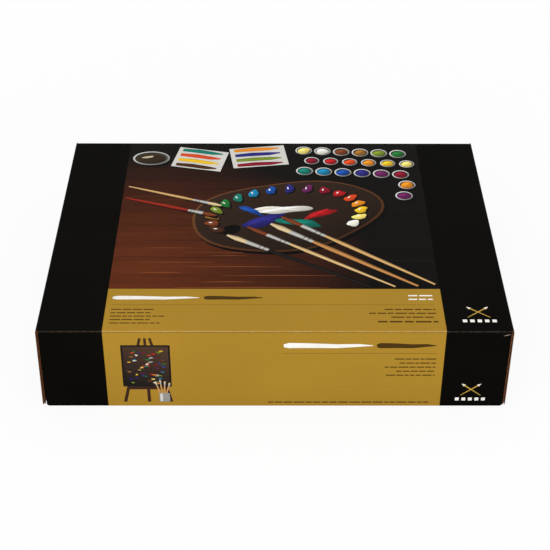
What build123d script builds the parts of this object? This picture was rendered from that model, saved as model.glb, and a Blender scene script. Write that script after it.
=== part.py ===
from build123d import *
import os

# Oil paint set box: a printed fold-over carton that holds a wooden paint chest with its
# tubes, bottles, brushes, palette knives, palette cups and palette.
# Millimetres. +X right, +Y to the back, +Z up. The origin is the centre of the carton's underside.

# Carton
CARTON_WIDTH = 480.0
CARTON_DEPTH = 364.0
CARTON_HEIGHT = 100.0
BOARD = 2.5
FLAP_LIFT = 1.0
FLAP_CLEARANCE = 0.3
FRONT_CORNER_RADIUS = 3.0
END_CORNER_RADIUS = 1.5
LEFT_FLAP_SPRING = 0.8
RIGHT_FLAP_SPRING = 0.15
TRAY_WALL_HEIGHT = 60.0
TRAY_CLEARANCE = 0.5
CORNER_TAB_LENGTH = 32.0
CORNER_TAB_HEIGHT = 52.0

# Chest
CHEST_END_GAP = 1.5
CHEST_FRONT_GAP = 5.0
CHEST_BACK_GAP = 12.0
CHEST_TOP_GAP = 5.0
WALL = 7.0
FLOOR = 4.0
FLOOR_RAISE = 2.0
LID = 7.0
LID_EDGE_RADIUS = 1.5
WALL_CORNER_RADIUS = 2.0
DIVIDER_EDGE_RADIUS = 1.2
DIVIDER = 4.0
DIVIDER_HEIGHT = 48.0
FIT = 0.2

# Chest hardware
HINGE_SPACING = 300.0
HINGE_LENGTH = 40.0
HINGE_LEAF_HEIGHT = 12.0
HINGE_LEAF = 0.9
HINGE_BARREL_RADIUS = 1.9
HINGE_PIN_RADIUS = 0.95
PIN_CLEARANCE = 0.05
HINGE_WOOD_GAP = 0.1
HINGE_KNUCKLES = 5
LATCH_SPACING = 290.0
LATCH_WIDTH = 20.0
LATCH_PLATE = 0.8
LATCH_PLATE_HEIGHT = 20.0
LATCH_PLATE_RISE = 3.0
LATCH_PLATE_CORNER = 2.0
LATCH_PIVOT_DROP = 12.0
LATCH_PIVOT_OUT = 2.6
LATCH_BARREL_RADIUS = 1.6
LATCH_PIN_RADIUS = 0.7
LATCH_LEVER = 1.0
LATCH_KNUCKLE = 4.0
LATCH_LEVER_REACH = 17.0
LEVER_TAPER = 1.5
LEVER_TAB_RADIUS = 1.0
LEVER_BARREL_EASE = 0.1
SCREW_HEAD_RADIUS = 1.5
SCREW_HEAD = 0.5

# Palette, held under the lid by four turn buttons
PALETTE_WIDTH = 400.0
PALETTE_DEPTH = 270.0
PALETTE = 3.5
PALETTE_CORNER = 24.0
THUMB_HOLE_LENGTH = 40.0
THUMB_HOLE_WIDTH = 24.0
THUMB_HOLE_INSET = 48.0
THUMB_HOLE_DROP = 40.0
THUMB_HOLE_TURN = 35.0
FINGER_NOTCH_RADIUS = 30.0
FINGER_NOTCH_RISE = 34.0
BUTTON_LENGTH = 24.0
BUTTON_WIDTH = 9.0
BUTTON = 2.0
BUTTON_POST_RADIUS = 2.5
BUTTON_BORE_RADIUS = 1.5
BUTTON_SPACING = 240.0
BUTTON_EDGE_GAP = 0.7
BUTTON_COLLAR = 0.3
BUTTON_PLAY = 0.6
BUTTON_HEAD = 0.8
BUTTON_LIFT = 0.05

# Paint tubes: radius, length of the metal body, gap to the next tube, cap radius and cap length
SMALL_TUBE = {"radius": 9.0, "body": 78.0, "gap": 1.2, "cap_radius": 6.0, "cap": 11.0}
MEDIUM_TUBE = {"radius": 12.4, "body": 122.0, "gap": 2.6, "cap_radius": 10.5, "cap": 15.0}
LARGE_TUBE = {"radius": 15.0, "body": 130.0, "gap": 3.0, "cap_radius": 12.0, "cap": 15.0}
GIANT_TUBE = {"radius": 19.5, "body": 132.0, "gap": 4.5, "cap_radius": 15.0, "cap": 17.0}
SMALL_COUNT = 19
MEDIUM_COUNT_PER_LAYER = 9
LARGE_COUNT = 3
CRIMP_THICKNESS = 1.8
CRIMP_LENGTH = 7.0
CRIMP_TILT = 40.0
CRIMP_SPREAD = 1.445
BAY_SPARE = 2.6
ROW_END_GAP = 1.0
TUBE_STRAIGHT_SHARE = 0.12
SHOULDER_LENGTH = 3.0
NECK_RADIUS = 4.0
NECK_LENGTH = 6.0
CAP_TAPER = 0.88
CAP_EDGE_RADIUS = 1.0
CAP_DEPTH_SPARE = 0.5
CAP_SEAT_CLEARANCE = 0.15
REST_GAP = 0.15

# Other contents
BOTTLE_RADIUS = 20.0
BOTTLE_END_SPARE = 1.6
BOTTLE_NECK_RADIUS = 9.0
BOTTLE_WALL = 2.0
BOTTLE_CAP_RADIUS = 12.0
BOTTLE_CAP_LENGTH = 13.0
BOTTLE_GAP = 4.0
BOTTLE_COUNT = 2
BRUSH_COUNT = 5
BRUSH_HANDLE_LENGTH = 205.0
BRUSH_HANDLE_RADIUS = 3.8
BRUSH_TAIL_RADIUS = 1.4
BRUSH_WAIST_RADIUS = 2.5
BRUSH_TENON_RADIUS = 2.7
BRUSH_GAP = 1.6
BRUSH_END_GAP = 4.0
BRUSH_STAGGER = 6.0
FERRULE_LENGTH = 34.0
FERRULE_RADIUS = 3.1
FERRULE_MOUTH = (4.4, 2.2)
BRISTLE_LENGTH = 24.0
BRISTLE_ROOT = (4.1, 1.9)
BRISTLE_TIP = (3.6, 0.8)
KNIFE_COUNT = 2
KNIFE_SIDE_GAP = 0.05
KNIFE_BLADE_LENGTH = 52.0
KNIFE_BLADE_WIDTH = 16.0
KNIFE_BLADE = 0.8
KNIFE_HANDLE_LENGTH = 82.0
KNIFE_HANDLE_RADIUS = 5.5
KNIFE_BUTT_RADIUS = 3.2
KNIFE_GRIP_RADIUS = 4.4
KNIFE_NECK_RADIUS = 3.4
KNIFE_SHANK_RADIUS = 1.6
SHANK_LENGTH = 12.0
KNIFE_BLADE_SHOULDER = 18.0
KNIFE_TIP_RADIUS = 2.0
KNIFE_END_GAP = 6.0
CUP_RADIUS = 18.0
CUP_HEIGHT = 16.0
CUP_WALL = 0.8
CUP_SPACING = 39.0

# Compartments of the chest, from back to front
SMALL_ROW_DEPTH = 106.0
MEDIUM_ROW_DEPTH = 162.0
BRUSH_BAY_LENGTH = 300.0

# Places that follow from the sizes above
HALF_WIDTH = CARTON_WIDTH / 2
HALF_DEPTH = CARTON_DEPTH / 2
FLAP_INSIDE_X = HALF_WIDTH - BOARD
FRONT_INSIDE_Y = -HALF_DEPTH + BOARD
BACK_INSIDE_Y = HALF_DEPTH - BOARD
TRAY_OUT_X = FLAP_INSIDE_X - TRAY_CLEARANCE
TRAY_FRONT_Y = FRONT_INSIDE_Y + TRAY_CLEARANCE
TRAY_INSIDE_X = TRAY_OUT_X - BOARD
TRAY_INSIDE_FRONT_Y = TRAY_FRONT_Y + BOARD

CHEST_HALF_WIDTH = TRAY_INSIDE_X - CHEST_END_GAP - BOARD
CHEST_FRONT_Y = TRAY_INSIDE_FRONT_Y + CHEST_FRONT_GAP
CHEST_BACK_Y = BACK_INSIDE_Y - CHEST_BACK_GAP
CHEST_MID_Y = (CHEST_FRONT_Y + CHEST_BACK_Y) / 2
CHEST_DEPTH = CHEST_BACK_Y - CHEST_FRONT_Y
CHEST_BOTTOM = BOARD
LID_TOP = CARTON_HEIGHT - BOARD - CHEST_TOP_GAP
LID_BOTTOM = LID_TOP - LID
INSIDE_HALF_WIDTH = CHEST_HALF_WIDTH - WALL
INSIDE_FRONT_Y = CHEST_FRONT_Y + WALL
INSIDE_BACK_Y = CHEST_BACK_Y - WALL
FLOOR_BOTTOM = CHEST_BOTTOM + FLOOR_RAISE
FLOOR_TOP = FLOOR_BOTTOM + FLOOR
LID_PIVOT_Y = CHEST_BACK_Y + HINGE_BARREL_RADIUS + HINGE_WOOD_GAP
LID_PIVOT_Z = LID_BOTTOM
LATCH_PIVOT_Y = CHEST_FRONT_Y - LATCH_PIVOT_OUT
LATCH_PIVOT_Z = LID_BOTTOM - LATCH_PIVOT_DROP

REAR_DIVIDER_Y = INSIDE_BACK_Y - SMALL_ROW_DEPTH - DIVIDER / 2
FRONT_DIVIDER_Y = REAR_DIVIDER_Y - MEDIUM_ROW_DEPTH - DIVIDER

os.makedirs("parts", exist_ok=True)


def save(part, label):
    """Names a finished piece and writes it to its own file."""
    part.label = label
    export_step(part, f"parts/{label}.step")


def tube_pitch(size):
    """The distance from one tube of a row to the next."""
    return 2 * size["radius"] + size["gap"]


# Carton: panels of one corrugated blank, meeting at their creases

with BuildPart() as bottom_panel:
    with BuildSketch(Plane.XY):
        with Locations((0, (TRAY_FRONT_Y + HALF_DEPTH) / 2)):
            Rectangle(2 * TRAY_OUT_X, HALF_DEPTH - TRAY_FRONT_Y)
    extrude(amount=BOARD)
save(bottom_panel.part, "carton_bottom_panel")

with BuildPart() as back_panel:
    with BuildSketch(Plane.XZ.offset(-HALF_DEPTH)):
        with Locations((0, (BOARD + CARTON_HEIGHT - BOARD) / 2)):
            Rectangle(2 * TRAY_OUT_X, CARTON_HEIGHT - 2 * BOARD)
    extrude(amount=BOARD)
save(back_panel.part, "carton_back_panel")

with BuildPart() as tray_front:
    with BuildSketch(Plane.XZ.offset(-TRAY_INSIDE_FRONT_Y)):
        with Locations((0, (BOARD + TRAY_WALL_HEIGHT) / 2)):
            Rectangle(2 * TRAY_INSIDE_X, TRAY_WALL_HEIGHT - BOARD)
    extrude(amount=BOARD)
save(tray_front.part, "carton_tray_front_wall")

for side, side_name in ((-1, "left"), (1, "right")):
    with BuildPart() as tray_end:
        with BuildSketch(Plane.YZ.offset(side * TRAY_OUT_X)):
            with Locations(((TRAY_FRONT_Y + BACK_INSIDE_Y) / 2, (BOARD + TRAY_WALL_HEIGHT) / 2)):
                Rectangle(BACK_INSIDE_Y - TRAY_FRONT_Y, TRAY_WALL_HEIGHT - BOARD)
        extrude(amount=-side * BOARD)
    save(tray_end.part, f"carton_tray_{side_name}_wall")

with BuildPart() as corner_tabs:
    for side in (-1, 1):
        tab_y = (BACK_INSIDE_Y - BOARD / 2, TRAY_INSIDE_FRONT_Y + BOARD / 2)
        for y in tab_y:
            with BuildSketch(Plane.XZ.offset(-(y + BOARD / 2))):
                tab_x = side * (TRAY_INSIDE_X - CORNER_TAB_LENGTH / 2)
                with Locations((tab_x, BOARD + CORNER_TAB_HEIGHT / 2)):
                    Rectangle(CORNER_TAB_LENGTH, CORNER_TAB_HEIGHT)
            extrude(amount=BOARD)
save(corner_tabs.part, "carton_corner_tabs")

with BuildPart() as top_panel:
    with BuildSketch(Plane.XY.offset(CARTON_HEIGHT - BOARD)):
        Rectangle(CARTON_WIDTH, CARTON_DEPTH)
    extrude(amount=BOARD)
    fillet(top_panel.faces().sort_by(Axis.Z)[-1].edges(), BOARD * 0.45)
save(top_panel.part, "carton_top_panel")

with BuildPart() as front_flap:
    with BuildSketch(Plane.XZ.offset(-FRONT_INSIDE_Y)):
        with Locations((0, (CARTON_HEIGHT - BOARD) / 2)):
            Rectangle(2 * (FLAP_INSIDE_X - FLAP_CLEARANCE), CARTON_HEIGHT - BOARD)
    extrude(amount=BOARD)
    bottom_corners = front_flap.edges().filter_by(Axis.Y).group_by(Axis.Z)[0]
    fillet(bottom_corners, FRONT_CORNER_RADIUS)
save(front_flap.part, "carton_front_flap")


def end_flap(side, spring):
    """An end flap that hangs from the top panel and springs out by a small angle."""
    with BuildPart() as flap:
        with BuildSketch(Plane.YZ.offset(side * HALF_WIDTH)):
            with Locations((0, (FLAP_LIFT + CARTON_HEIGHT - BOARD) / 2)):
                Rectangle(CARTON_DEPTH, CARTON_HEIGHT - BOARD - FLAP_LIFT)
        extrude(amount=-side * BOARD)
        flap_corners = flap.edges().filter_by(Axis.X).group_by(Axis.Z)[0]
        fillet(flap_corners, END_CORNER_RADIUS)
    crease = Axis((side * HALF_WIDTH, 0, CARTON_HEIGHT - BOARD), (0, 1, 0))
    return flap.part.rotate(crease, -side * spring)


save(end_flap(-1, LEFT_FLAP_SPRING), "carton_left_flap")
save(end_flap(1, RIGHT_FLAP_SPRING), "carton_right_flap")

# Chest: six boards, with the floor let into a groove-high seat between the walls

with BuildPart() as chest_floor:
    with BuildSketch(Plane.XY.offset(FLOOR_BOTTOM)):
        with Locations((0, CHEST_MID_Y)):
            Rectangle(2 * INSIDE_HALF_WIDTH, CHEST_DEPTH - 2 * WALL)
    extrude(amount=FLOOR)
save(chest_floor.part, "chest_floor")

for wall_name, wall_y in (("front", CHEST_FRONT_Y + WALL), ("back", CHEST_BACK_Y)):
    with BuildPart() as long_wall:
        with BuildSketch(Plane.XZ.offset(-wall_y)):
            with Locations((0, (CHEST_BOTTOM + LID_BOTTOM) / 2)):
                Rectangle(2 * CHEST_HALF_WIDTH, LID_BOTTOM - CHEST_BOTTOM)
        extrude(amount=WALL)
        upright_edges = long_wall.edges().filter_by(Axis.Z).group_by(Axis.Y)
        fillet(upright_edges[0 if wall_name == "front" else -1], WALL_CORNER_RADIUS)
    save(long_wall.part, f"chest_{wall_name}_wall")

for side, side_name in ((-1, "left"), (1, "right")):
    with BuildPart() as end_wall:
        with BuildSketch(Plane.YZ.offset(side * CHEST_HALF_WIDTH)):
            with Locations((CHEST_MID_Y, (CHEST_BOTTOM + LID_BOTTOM) / 2)):
                Rectangle(CHEST_DEPTH - 2 * WALL, LID_BOTTOM - CHEST_BOTTOM)
        extrude(amount=-side * WALL)
    save(end_wall.part, f"chest_{side_name}_wall")

with BuildPart() as lid_panel:
    with BuildSketch(Plane.XY.offset(LID_BOTTOM + FIT)):
        with Locations((0, CHEST_MID_Y)):
            RectangleRounded(2 * CHEST_HALF_WIDTH, CHEST_DEPTH, WALL_CORNER_RADIUS)
    extrude(amount=LID - FIT)
    fillet(lid_panel.faces().sort_by(Axis.Z)[-1].edges(), LID_EDGE_RADIUS)
save(lid_panel.part, "chest_lid_panel")

# The first compartment of each row starts at the left wall
small_bay = SMALL_COUNT * tube_pitch(SMALL_TUBE) + BAY_SPARE
medium_bay = MEDIUM_COUNT_PER_LAYER * tube_pitch(MEDIUM_TUBE) + BAY_SPARE
large_bay = LARGE_COUNT * tube_pitch(LARGE_TUBE) + BAY_SPARE
giant_bay = tube_pitch(GIANT_TUBE) + BAY_SPARE
LEFT_X = -INSIDE_HALF_WIDTH
MEDIUM_WALL_X = LEFT_X + medium_bay + DIVIDER / 2
LARGE_WALL_X = MEDIUM_WALL_X + large_bay + DIVIDER
GIANT_WALL_X = LARGE_WALL_X + giant_bay + DIVIDER
SMALL_WALL_X = LEFT_X + small_bay + DIVIDER / 2
BRUSH_WALL_X = LEFT_X + BRUSH_BAY_LENGTH + DIVIDER / 2

with BuildPart() as long_dividers:
    for y in (REAR_DIVIDER_Y, FRONT_DIVIDER_Y):
        with BuildSketch(Plane.XY.offset(FLOOR_TOP)):
            with Locations((0, y)):
                Rectangle(2 * INSIDE_HALF_WIDTH, DIVIDER)
        extrude(amount=DIVIDER_HEIGHT)
    fillet(long_dividers.edges().filter_by(Axis.X).group_by(Axis.Z)[-1], DIVIDER_EDGE_RADIUS)
save(long_dividers.part, "chest_long_dividers")

cross_walls = [
    (SMALL_WALL_X, REAR_DIVIDER_Y + DIVIDER / 2, INSIDE_BACK_Y),
    (MEDIUM_WALL_X, FRONT_DIVIDER_Y + DIVIDER / 2, REAR_DIVIDER_Y - DIVIDER / 2),
    (LARGE_WALL_X, FRONT_DIVIDER_Y + DIVIDER / 2, REAR_DIVIDER_Y - DIVIDER / 2),
    (GIANT_WALL_X, FRONT_DIVIDER_Y + DIVIDER / 2, REAR_DIVIDER_Y - DIVIDER / 2),
    (BRUSH_WALL_X, INSIDE_FRONT_Y, FRONT_DIVIDER_Y - DIVIDER / 2),
]
with BuildPart() as cross_dividers:
    for x, y_low, y_high in cross_walls:
        with BuildSketch(Plane.XY.offset(FLOOR_TOP)):
            with Locations((x, (y_low + y_high) / 2)):
                Rectangle(DIVIDER, y_high - y_low)
        extrude(amount=DIVIDER_HEIGHT)
    fillet(cross_dividers.edges().filter_by(Axis.Y).group_by(Axis.Z)[-1], DIVIDER_EDGE_RADIUS)
save(cross_dividers.part, "chest_cross_dividers")

# Lid hinges: knuckles alternate between the two leaves on one pin

hinge_x = (-HINGE_SPACING / 2, HINGE_SPACING / 2)
knuckle = HINGE_LENGTH / HINGE_KNUCKLES
KNUCKLE_GAP = 0.3


def hinge_leaves(upper):
    """One leaf of each hinge: the lid's when upper is true, otherwise the chest's."""
    leaf_low = LID_PIVOT_Z + FIT if upper else LID_PIVOT_Z - HINGE_LEAF_HEIGHT
    leaf_high = LID_TOP - LID_EDGE_RADIUS if upper else LID_PIVOT_Z - FIT
    with BuildPart() as leaves:
        for centre in hinge_x:
            with BuildSketch(Plane.XZ.offset(-(CHEST_BACK_Y + HINGE_LEAF + PIN_CLEARANCE))):
                with Locations((centre, (leaf_low + leaf_high) / 2)):
                    Rectangle(HINGE_LENGTH, leaf_high - leaf_low)
            extrude(amount=HINGE_LEAF)
            # the pin's line is cut clear across the whole leaf before the knuckles go on
            with Locations(Location((centre, LID_PIVOT_Y, LID_PIVOT_Z), (0, 90, 0))):
                Cylinder(HINGE_BARREL_RADIUS + KNUCKLE_GAP, HINGE_LENGTH + 2, mode=Mode.SUBTRACT)
            for k in range(HINGE_KNUCKLES):
                if (k % 2 == 1) == upper:
                    knuckle_x = centre + (k - (HINGE_KNUCKLES - 1) / 2) * knuckle
                    with Locations(Location((knuckle_x, LID_PIVOT_Y, LID_PIVOT_Z), (0, 90, 0))):
                        Cylinder(HINGE_BARREL_RADIUS, knuckle - KNUCKLE_GAP)
                    bridge_z = LID_PIVOT_Z + (1 if upper else -1) * (HINGE_BARREL_RADIUS + 1) / 2
                    with Locations((knuckle_x, CHEST_BACK_Y + PIN_CLEARANCE + HINGE_LEAF / 2, bridge_z)):
                        Box(knuckle - KNUCKLE_GAP, HINGE_LEAF, HINGE_BARREL_RADIUS + 1)
            with Locations(Location((centre, LID_PIVOT_Y, LID_PIVOT_Z), (0, 90, 0))):
                Cylinder(HINGE_PIN_RADIUS + PIN_CLEARANCE, HINGE_LENGTH + 2, mode=Mode.SUBTRACT)
    return leaves.part


save(hinge_leaves(False), "hinge_chest_leaves")
save(hinge_leaves(True), "hinge_lid_leaves")

with BuildPart() as hinge_pins:
    with Locations(*[Location((x, LID_PIVOT_Y, LID_PIVOT_Z), (0, 90, 0)) for x in hinge_x]):
        Cylinder(HINGE_PIN_RADIUS, HINGE_LENGTH)
save(hinge_pins.part, "hinge_pins")

# Latches: a lever swings down and out from a barrel on the chest and frees the lid's strike

latch_x = (-LATCH_SPACING / 2, LATCH_SPACING / 2)

with BuildPart() as latch_plates:
    for x in latch_x:
        with BuildSketch(Plane.XZ.offset(-CHEST_FRONT_Y)):
            with Locations((x, LATCH_PIVOT_Z - LATCH_PLATE_HEIGHT / 2 + LATCH_PLATE_RISE)):
                RectangleRounded(LATCH_WIDTH, LATCH_PLATE_HEIGHT, LATCH_PLATE_CORNER)
        extrude(amount=LATCH_PLATE)
        for side in (-1, 1):
            knuckle_x = x + side * (LATCH_WIDTH - LATCH_KNUCKLE) / 2
            with Locations(Location((knuckle_x, LATCH_PIVOT_Y, LATCH_PIVOT_Z), (0, 90, 0))):
                Cylinder(LATCH_BARREL_RADIUS, LATCH_KNUCKLE)
            with Locations((knuckle_x, CHEST_FRONT_Y - LATCH_PIVOT_OUT / 2, LATCH_PIVOT_Z)):
                Box(LATCH_KNUCKLE, LATCH_PIVOT_OUT, LATCH_BARREL_RADIUS)
        with Locations(Location((x, LATCH_PIVOT_Y, LATCH_PIVOT_Z), (0, 90, 0))):
            Cylinder(LATCH_PIN_RADIUS + PIN_CLEARANCE, LATCH_WIDTH + 2, mode=Mode.SUBTRACT)
    with Locations((0, CHEST_FRONT_Y + 2, LATCH_PIVOT_Z)):
        Box(CARTON_WIDTH, 4, 4 * LATCH_PLATE_HEIGHT, mode=Mode.SUBTRACT)
save(latch_plates.part, "latch_plates")

with BuildPart() as latch_pins:
    with Locations(*[Location((x, LATCH_PIVOT_Y, LATCH_PIVOT_Z), (0, 90, 0)) for x in latch_x]):
        Cylinder(LATCH_PIN_RADIUS, LATCH_WIDTH)
save(latch_pins.part, "latch_pins")

LEVER_BARREL = LATCH_WIDTH - 2 * (LATCH_KNUCKLE + KNUCKLE_GAP)
for x, side_name in zip(latch_x, ("left", "right")):
    with BuildPart() as lever:
        with Locations(Location((x, LATCH_PIVOT_Y, LATCH_PIVOT_Z), (0, 90, 0))):
            Cylinder(LATCH_BARREL_RADIUS - LEVER_BARREL_EASE, LEVER_BARREL)
        with BuildSketch(Plane.XZ.offset(-(LATCH_PIVOT_Y + LATCH_LEVER / 2))):
            with BuildLine():
                Polyline(
                    (x - LEVER_BARREL / 2, LATCH_PIVOT_Z),
                    (x + LEVER_BARREL / 2, LATCH_PIVOT_Z),
                    (x + LEVER_BARREL / 2 - LEVER_TAPER, LATCH_PIVOT_Z + LATCH_LEVER_REACH),
                    (x - LEVER_BARREL / 2 + LEVER_TAPER, LATCH_PIVOT_Z + LATCH_LEVER_REACH),
                    close=True,
                )
            make_face()
        extrude(amount=LATCH_LEVER)
        # rolled finger tab at the free end
        tab_place = (x, LATCH_PIVOT_Y - LATCH_LEVER / 2, LATCH_PIVOT_Z + LATCH_LEVER_REACH)
        with Locations(Location(tab_place, (0, 90, 0))):
            Cylinder(LEVER_TAB_RADIUS, LEVER_BARREL - 2 * LEVER_TAPER)
        with Locations(Location((x, LATCH_PIVOT_Y, LATCH_PIVOT_Z), (0, 90, 0))):
            Cylinder(LATCH_PIN_RADIUS + PIN_CLEARANCE, LATCH_WIDTH, mode=Mode.SUBTRACT)
    save(lever.part, f"latch_lever_{side_name}")

with BuildPart() as latch_strikes:
    for x in latch_x:
        with BuildSketch(Plane.XZ.offset(-CHEST_FRONT_Y)):
            with Locations((x, LID_BOTTOM + FIT + LID / 2 - LID_EDGE_RADIUS / 2)):
                Rectangle(LATCH_WIDTH, LID - FIT - LID_EDGE_RADIUS)
        extrude(amount=LATCH_PLATE)
save(latch_strikes.part, "latch_strikes")


def screw_heads(places, outward):
    """The flat heads of the wood screws at each place."""
    with BuildPart() as group:
        for x, y, z in places:
            plane = Plane(origin=(x, y, z), z_dir=outward)
            with BuildSketch(plane):
                Circle(SCREW_HEAD_RADIUS)
            extrude(amount=SCREW_HEAD)
    return group.part


leaf_face_y = CHEST_BACK_Y + HINGE_LEAF + PIN_CLEARANCE
screw_step = HINGE_LENGTH / 2 - 4 * SCREW_HEAD_RADIUS
SCREW_EDGE_GAP = 0.1
LID_SCREW_Z = LID_TOP - LID_EDGE_RADIUS - SCREW_HEAD_RADIUS - SCREW_EDGE_GAP
CHEST_SCREW_Z = LID_PIVOT_Z - HINGE_LEAF_HEIGHT * 0.62
screw_x = [x + dx for x in hinge_x for dx in (-screw_step, 0, screw_step)]
save(screw_heads([(x, leaf_face_y, CHEST_SCREW_Z) for x in screw_x], (0, 1, 0)), "hinge_chest_screws")
save(screw_heads([(x, leaf_face_y, LID_SCREW_Z) for x in screw_x], (0, 1, 0)), "hinge_lid_screws")

plate_face_y = CHEST_FRONT_Y - LATCH_PLATE
LATCH_SCREW_STEP = 5.5
latch_screw_z = LATCH_PIVOT_Z - LATCH_PLATE_HEIGHT + 7
latch_screw_x = [x + dx for x in latch_x for dx in (-LATCH_SCREW_STEP, LATCH_SCREW_STEP)]
save(screw_heads([(x, plate_face_y, latch_screw_z) for x in latch_screw_x], (0, -1, 0)), "latch_screws")

# Palette under the lid, with a thumb hole, a finger notch and rounded corners

palette_top = LID_BOTTOM + FIT
with BuildPart() as palette:
    with BuildSketch(Plane.XY.offset(palette_top - PALETTE)):
        with Locations((0, CHEST_MID_Y)):
            RectangleRounded(PALETTE_WIDTH, PALETTE_DEPTH, PALETTE_CORNER)
        thumb_place = (-PALETTE_WIDTH / 2 + THUMB_HOLE_INSET, CHEST_MID_Y - THUMB_HOLE_DROP, 0)
        with Locations(Location(thumb_place, (0, 0, THUMB_HOLE_TURN))):
            SlotOverall(THUMB_HOLE_LENGTH, THUMB_HOLE_WIDTH, mode=Mode.SUBTRACT)
        notch_x = -PALETTE_WIDTH / 2 - FINGER_NOTCH_RADIUS * 0.45
        with Locations((notch_x, CHEST_MID_Y + FINGER_NOTCH_RISE)):
            Circle(FINGER_NOTCH_RADIUS, mode=Mode.SUBTRACT)
    extrude(amount=PALETTE)
save(palette.part, "palette")

collar_bottom = palette_top - PALETTE - BUTTON_COLLAR
button_y = PALETTE_DEPTH / 2 + BUTTON_WIDTH / 2 + BUTTON_EDGE_GAP
button_places = {
    "front_left": (-BUTTON_SPACING / 2, CHEST_MID_Y - button_y, 1),
    "front_right": (BUTTON_SPACING / 2, CHEST_MID_Y - button_y, 1),
    "back_left": (-BUTTON_SPACING / 2, CHEST_MID_Y + button_y, -1),
    "back_right": (BUTTON_SPACING / 2, CHEST_MID_Y + button_y, -1),
}

with BuildPart() as button_posts:
    for x, y, _ in button_places.values():
        with BuildSketch(Plane.XY.offset(collar_bottom)):
            with Locations((x, y)):
                Circle(BUTTON_POST_RADIUS)
        extrude(amount=palette_top - collar_bottom)
        with BuildSketch(Plane.XY.offset(collar_bottom - BUTTON - BUTTON_PLAY)):
            with Locations((x, y)):
                Circle(BUTTON_BORE_RADIUS - PIN_CLEARANCE)
        extrude(amount=BUTTON + BUTTON_PLAY)
        with BuildSketch(Plane.XY.offset(collar_bottom - BUTTON - 2 * BUTTON_PLAY)):
            with Locations((x, y)):
                Circle(BUTTON_POST_RADIUS)
        extrude(amount=BUTTON_HEAD)
save(button_posts.part, "button_posts")

for button_name, (x, y, inward) in button_places.items():
    with BuildPart() as button:
        with BuildSketch(Plane.XY.offset(collar_bottom - BUTTON_LIFT - BUTTON)):
            with Locations((x, y + inward * (BUTTON_LENGTH / 2 - BUTTON_WIDTH / 2))):
                SlotOverall(BUTTON_LENGTH, BUTTON_WIDTH, rotation=90)
            with Locations((x, y)):
                Circle(BUTTON_BORE_RADIUS, mode=Mode.SUBTRACT)
        extrude(amount=BUTTON)
    save(button.part, f"turn_button_{button_name}")


# Paint tubes lie along Y with their caps to the front and their folded ends to the back

def tube_body(size):
    """A metal tube with its cap end at the origin, running along +Y to the folded end."""
    radius = size["radius"]
    half_crimp = CRIMP_SPREAD * radius
    body_end = size["body"]
    with BuildPart() as tube:
        with BuildSketch(Plane.XZ):
            Circle(radius)
        extrude(amount=-body_end * TUBE_STRAIGHT_SHARE)
        with BuildSketch(Plane.XZ.offset(-body_end * TUBE_STRAIGHT_SHARE)):
            Circle(radius)
        with BuildSketch(Plane.XZ.offset(-(body_end - CRIMP_LENGTH))):
            Ellipse(half_crimp, CRIMP_THICKNESS / 2)
        loft()
        with BuildSketch(Plane.XZ.offset(-(body_end - CRIMP_LENGTH))):
            Rectangle(2 * half_crimp, CRIMP_THICKNESS)
        extrude(amount=-CRIMP_LENGTH)
        with BuildSketch(Plane.XZ):
            Circle(radius)
        with BuildSketch(Plane.XZ.offset(SHOULDER_LENGTH)):
            Circle(NECK_RADIUS)
        loft()
        with BuildSketch(Plane.XZ.offset(SHOULDER_LENGTH)):
            Circle(NECK_RADIUS)
        extrude(amount=NECK_LENGTH)
    return tube.part.rotate(Axis.Y, CRIMP_TILT)


def tube_cap(size):
    """A tapered screw cap that sits over the neck of a tube."""
    cap_back = -SHOULDER_LENGTH - CAP_SEAT_CLEARANCE
    with BuildPart() as cap:
        with BuildSketch(Plane.XZ.offset(-cap_back)):
            Circle(size["cap_radius"])
        with BuildSketch(Plane.XZ.offset(-cap_back + size["cap"])):
            Circle(size["cap_radius"] * CAP_TAPER)
        loft()
        fillet(cap.faces().sort_by(Axis.Y)[0].edges(), CAP_EDGE_RADIUS)
        with BuildSketch(Plane.XZ.offset(-cap_back)):
            Circle(NECK_RADIUS + CAP_SEAT_CLEARANCE)
        extrude(amount=NECK_LENGTH + CAP_DEPTH_SPARE, mode=Mode.SUBTRACT)
    return cap.part


def place_tubes(size, places, name):
    """Copies of one size of tube and of its cap, as two nodes."""
    body = tube_body(size)
    cap = tube_cap(size)
    save(Compound(children=[body.moved(Location(p)) for p in places]), f"{name}_bodies")
    save(Compound(children=[cap.moved(Location(p)) for p in places]), f"{name}_caps")


def cap_end_y(size, row_back_y):
    """Where a tube's shoulder starts, so that its folded end stops short of the row's back."""
    return row_back_y - ROW_END_GAP - size["body"]


small_y = cap_end_y(SMALL_TUBE, INSIDE_BACK_Y)
small_places = [
    (
        LEFT_X + BAY_SPARE / 2 + (i + 0.5) * tube_pitch(SMALL_TUBE),
        small_y,
        FLOOR_TOP + SMALL_TUBE["radius"] + REST_GAP,
    )
    for i in range(SMALL_COUNT)
]
place_tubes(SMALL_TUBE, small_places, "tubes_small")

medium_row_back = REAR_DIVIDER_Y - DIVIDER / 2
medium_y = cap_end_y(MEDIUM_TUBE, medium_row_back)
medium_places = [
    (
        LEFT_X + BAY_SPARE / 2 + (i + 0.5) * tube_pitch(MEDIUM_TUBE),
        medium_y,
        FLOOR_TOP + (2 * layer + 1) * (MEDIUM_TUBE["radius"] + REST_GAP),
    )
    for layer in range(2)
    for i in range(MEDIUM_COUNT_PER_LAYER)
]
place_tubes(MEDIUM_TUBE, medium_places, "tubes_medium")

large_y = cap_end_y(LARGE_TUBE, medium_row_back)
large_places = [
    (
        MEDIUM_WALL_X + DIVIDER / 2 + BAY_SPARE / 2 + (i + 0.5) * tube_pitch(LARGE_TUBE),
        large_y,
        FLOOR_TOP + LARGE_TUBE["radius"] + REST_GAP,
    )
    for i in range(LARGE_COUNT)
]
place_tubes(LARGE_TUBE, large_places, "tubes_large")

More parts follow.
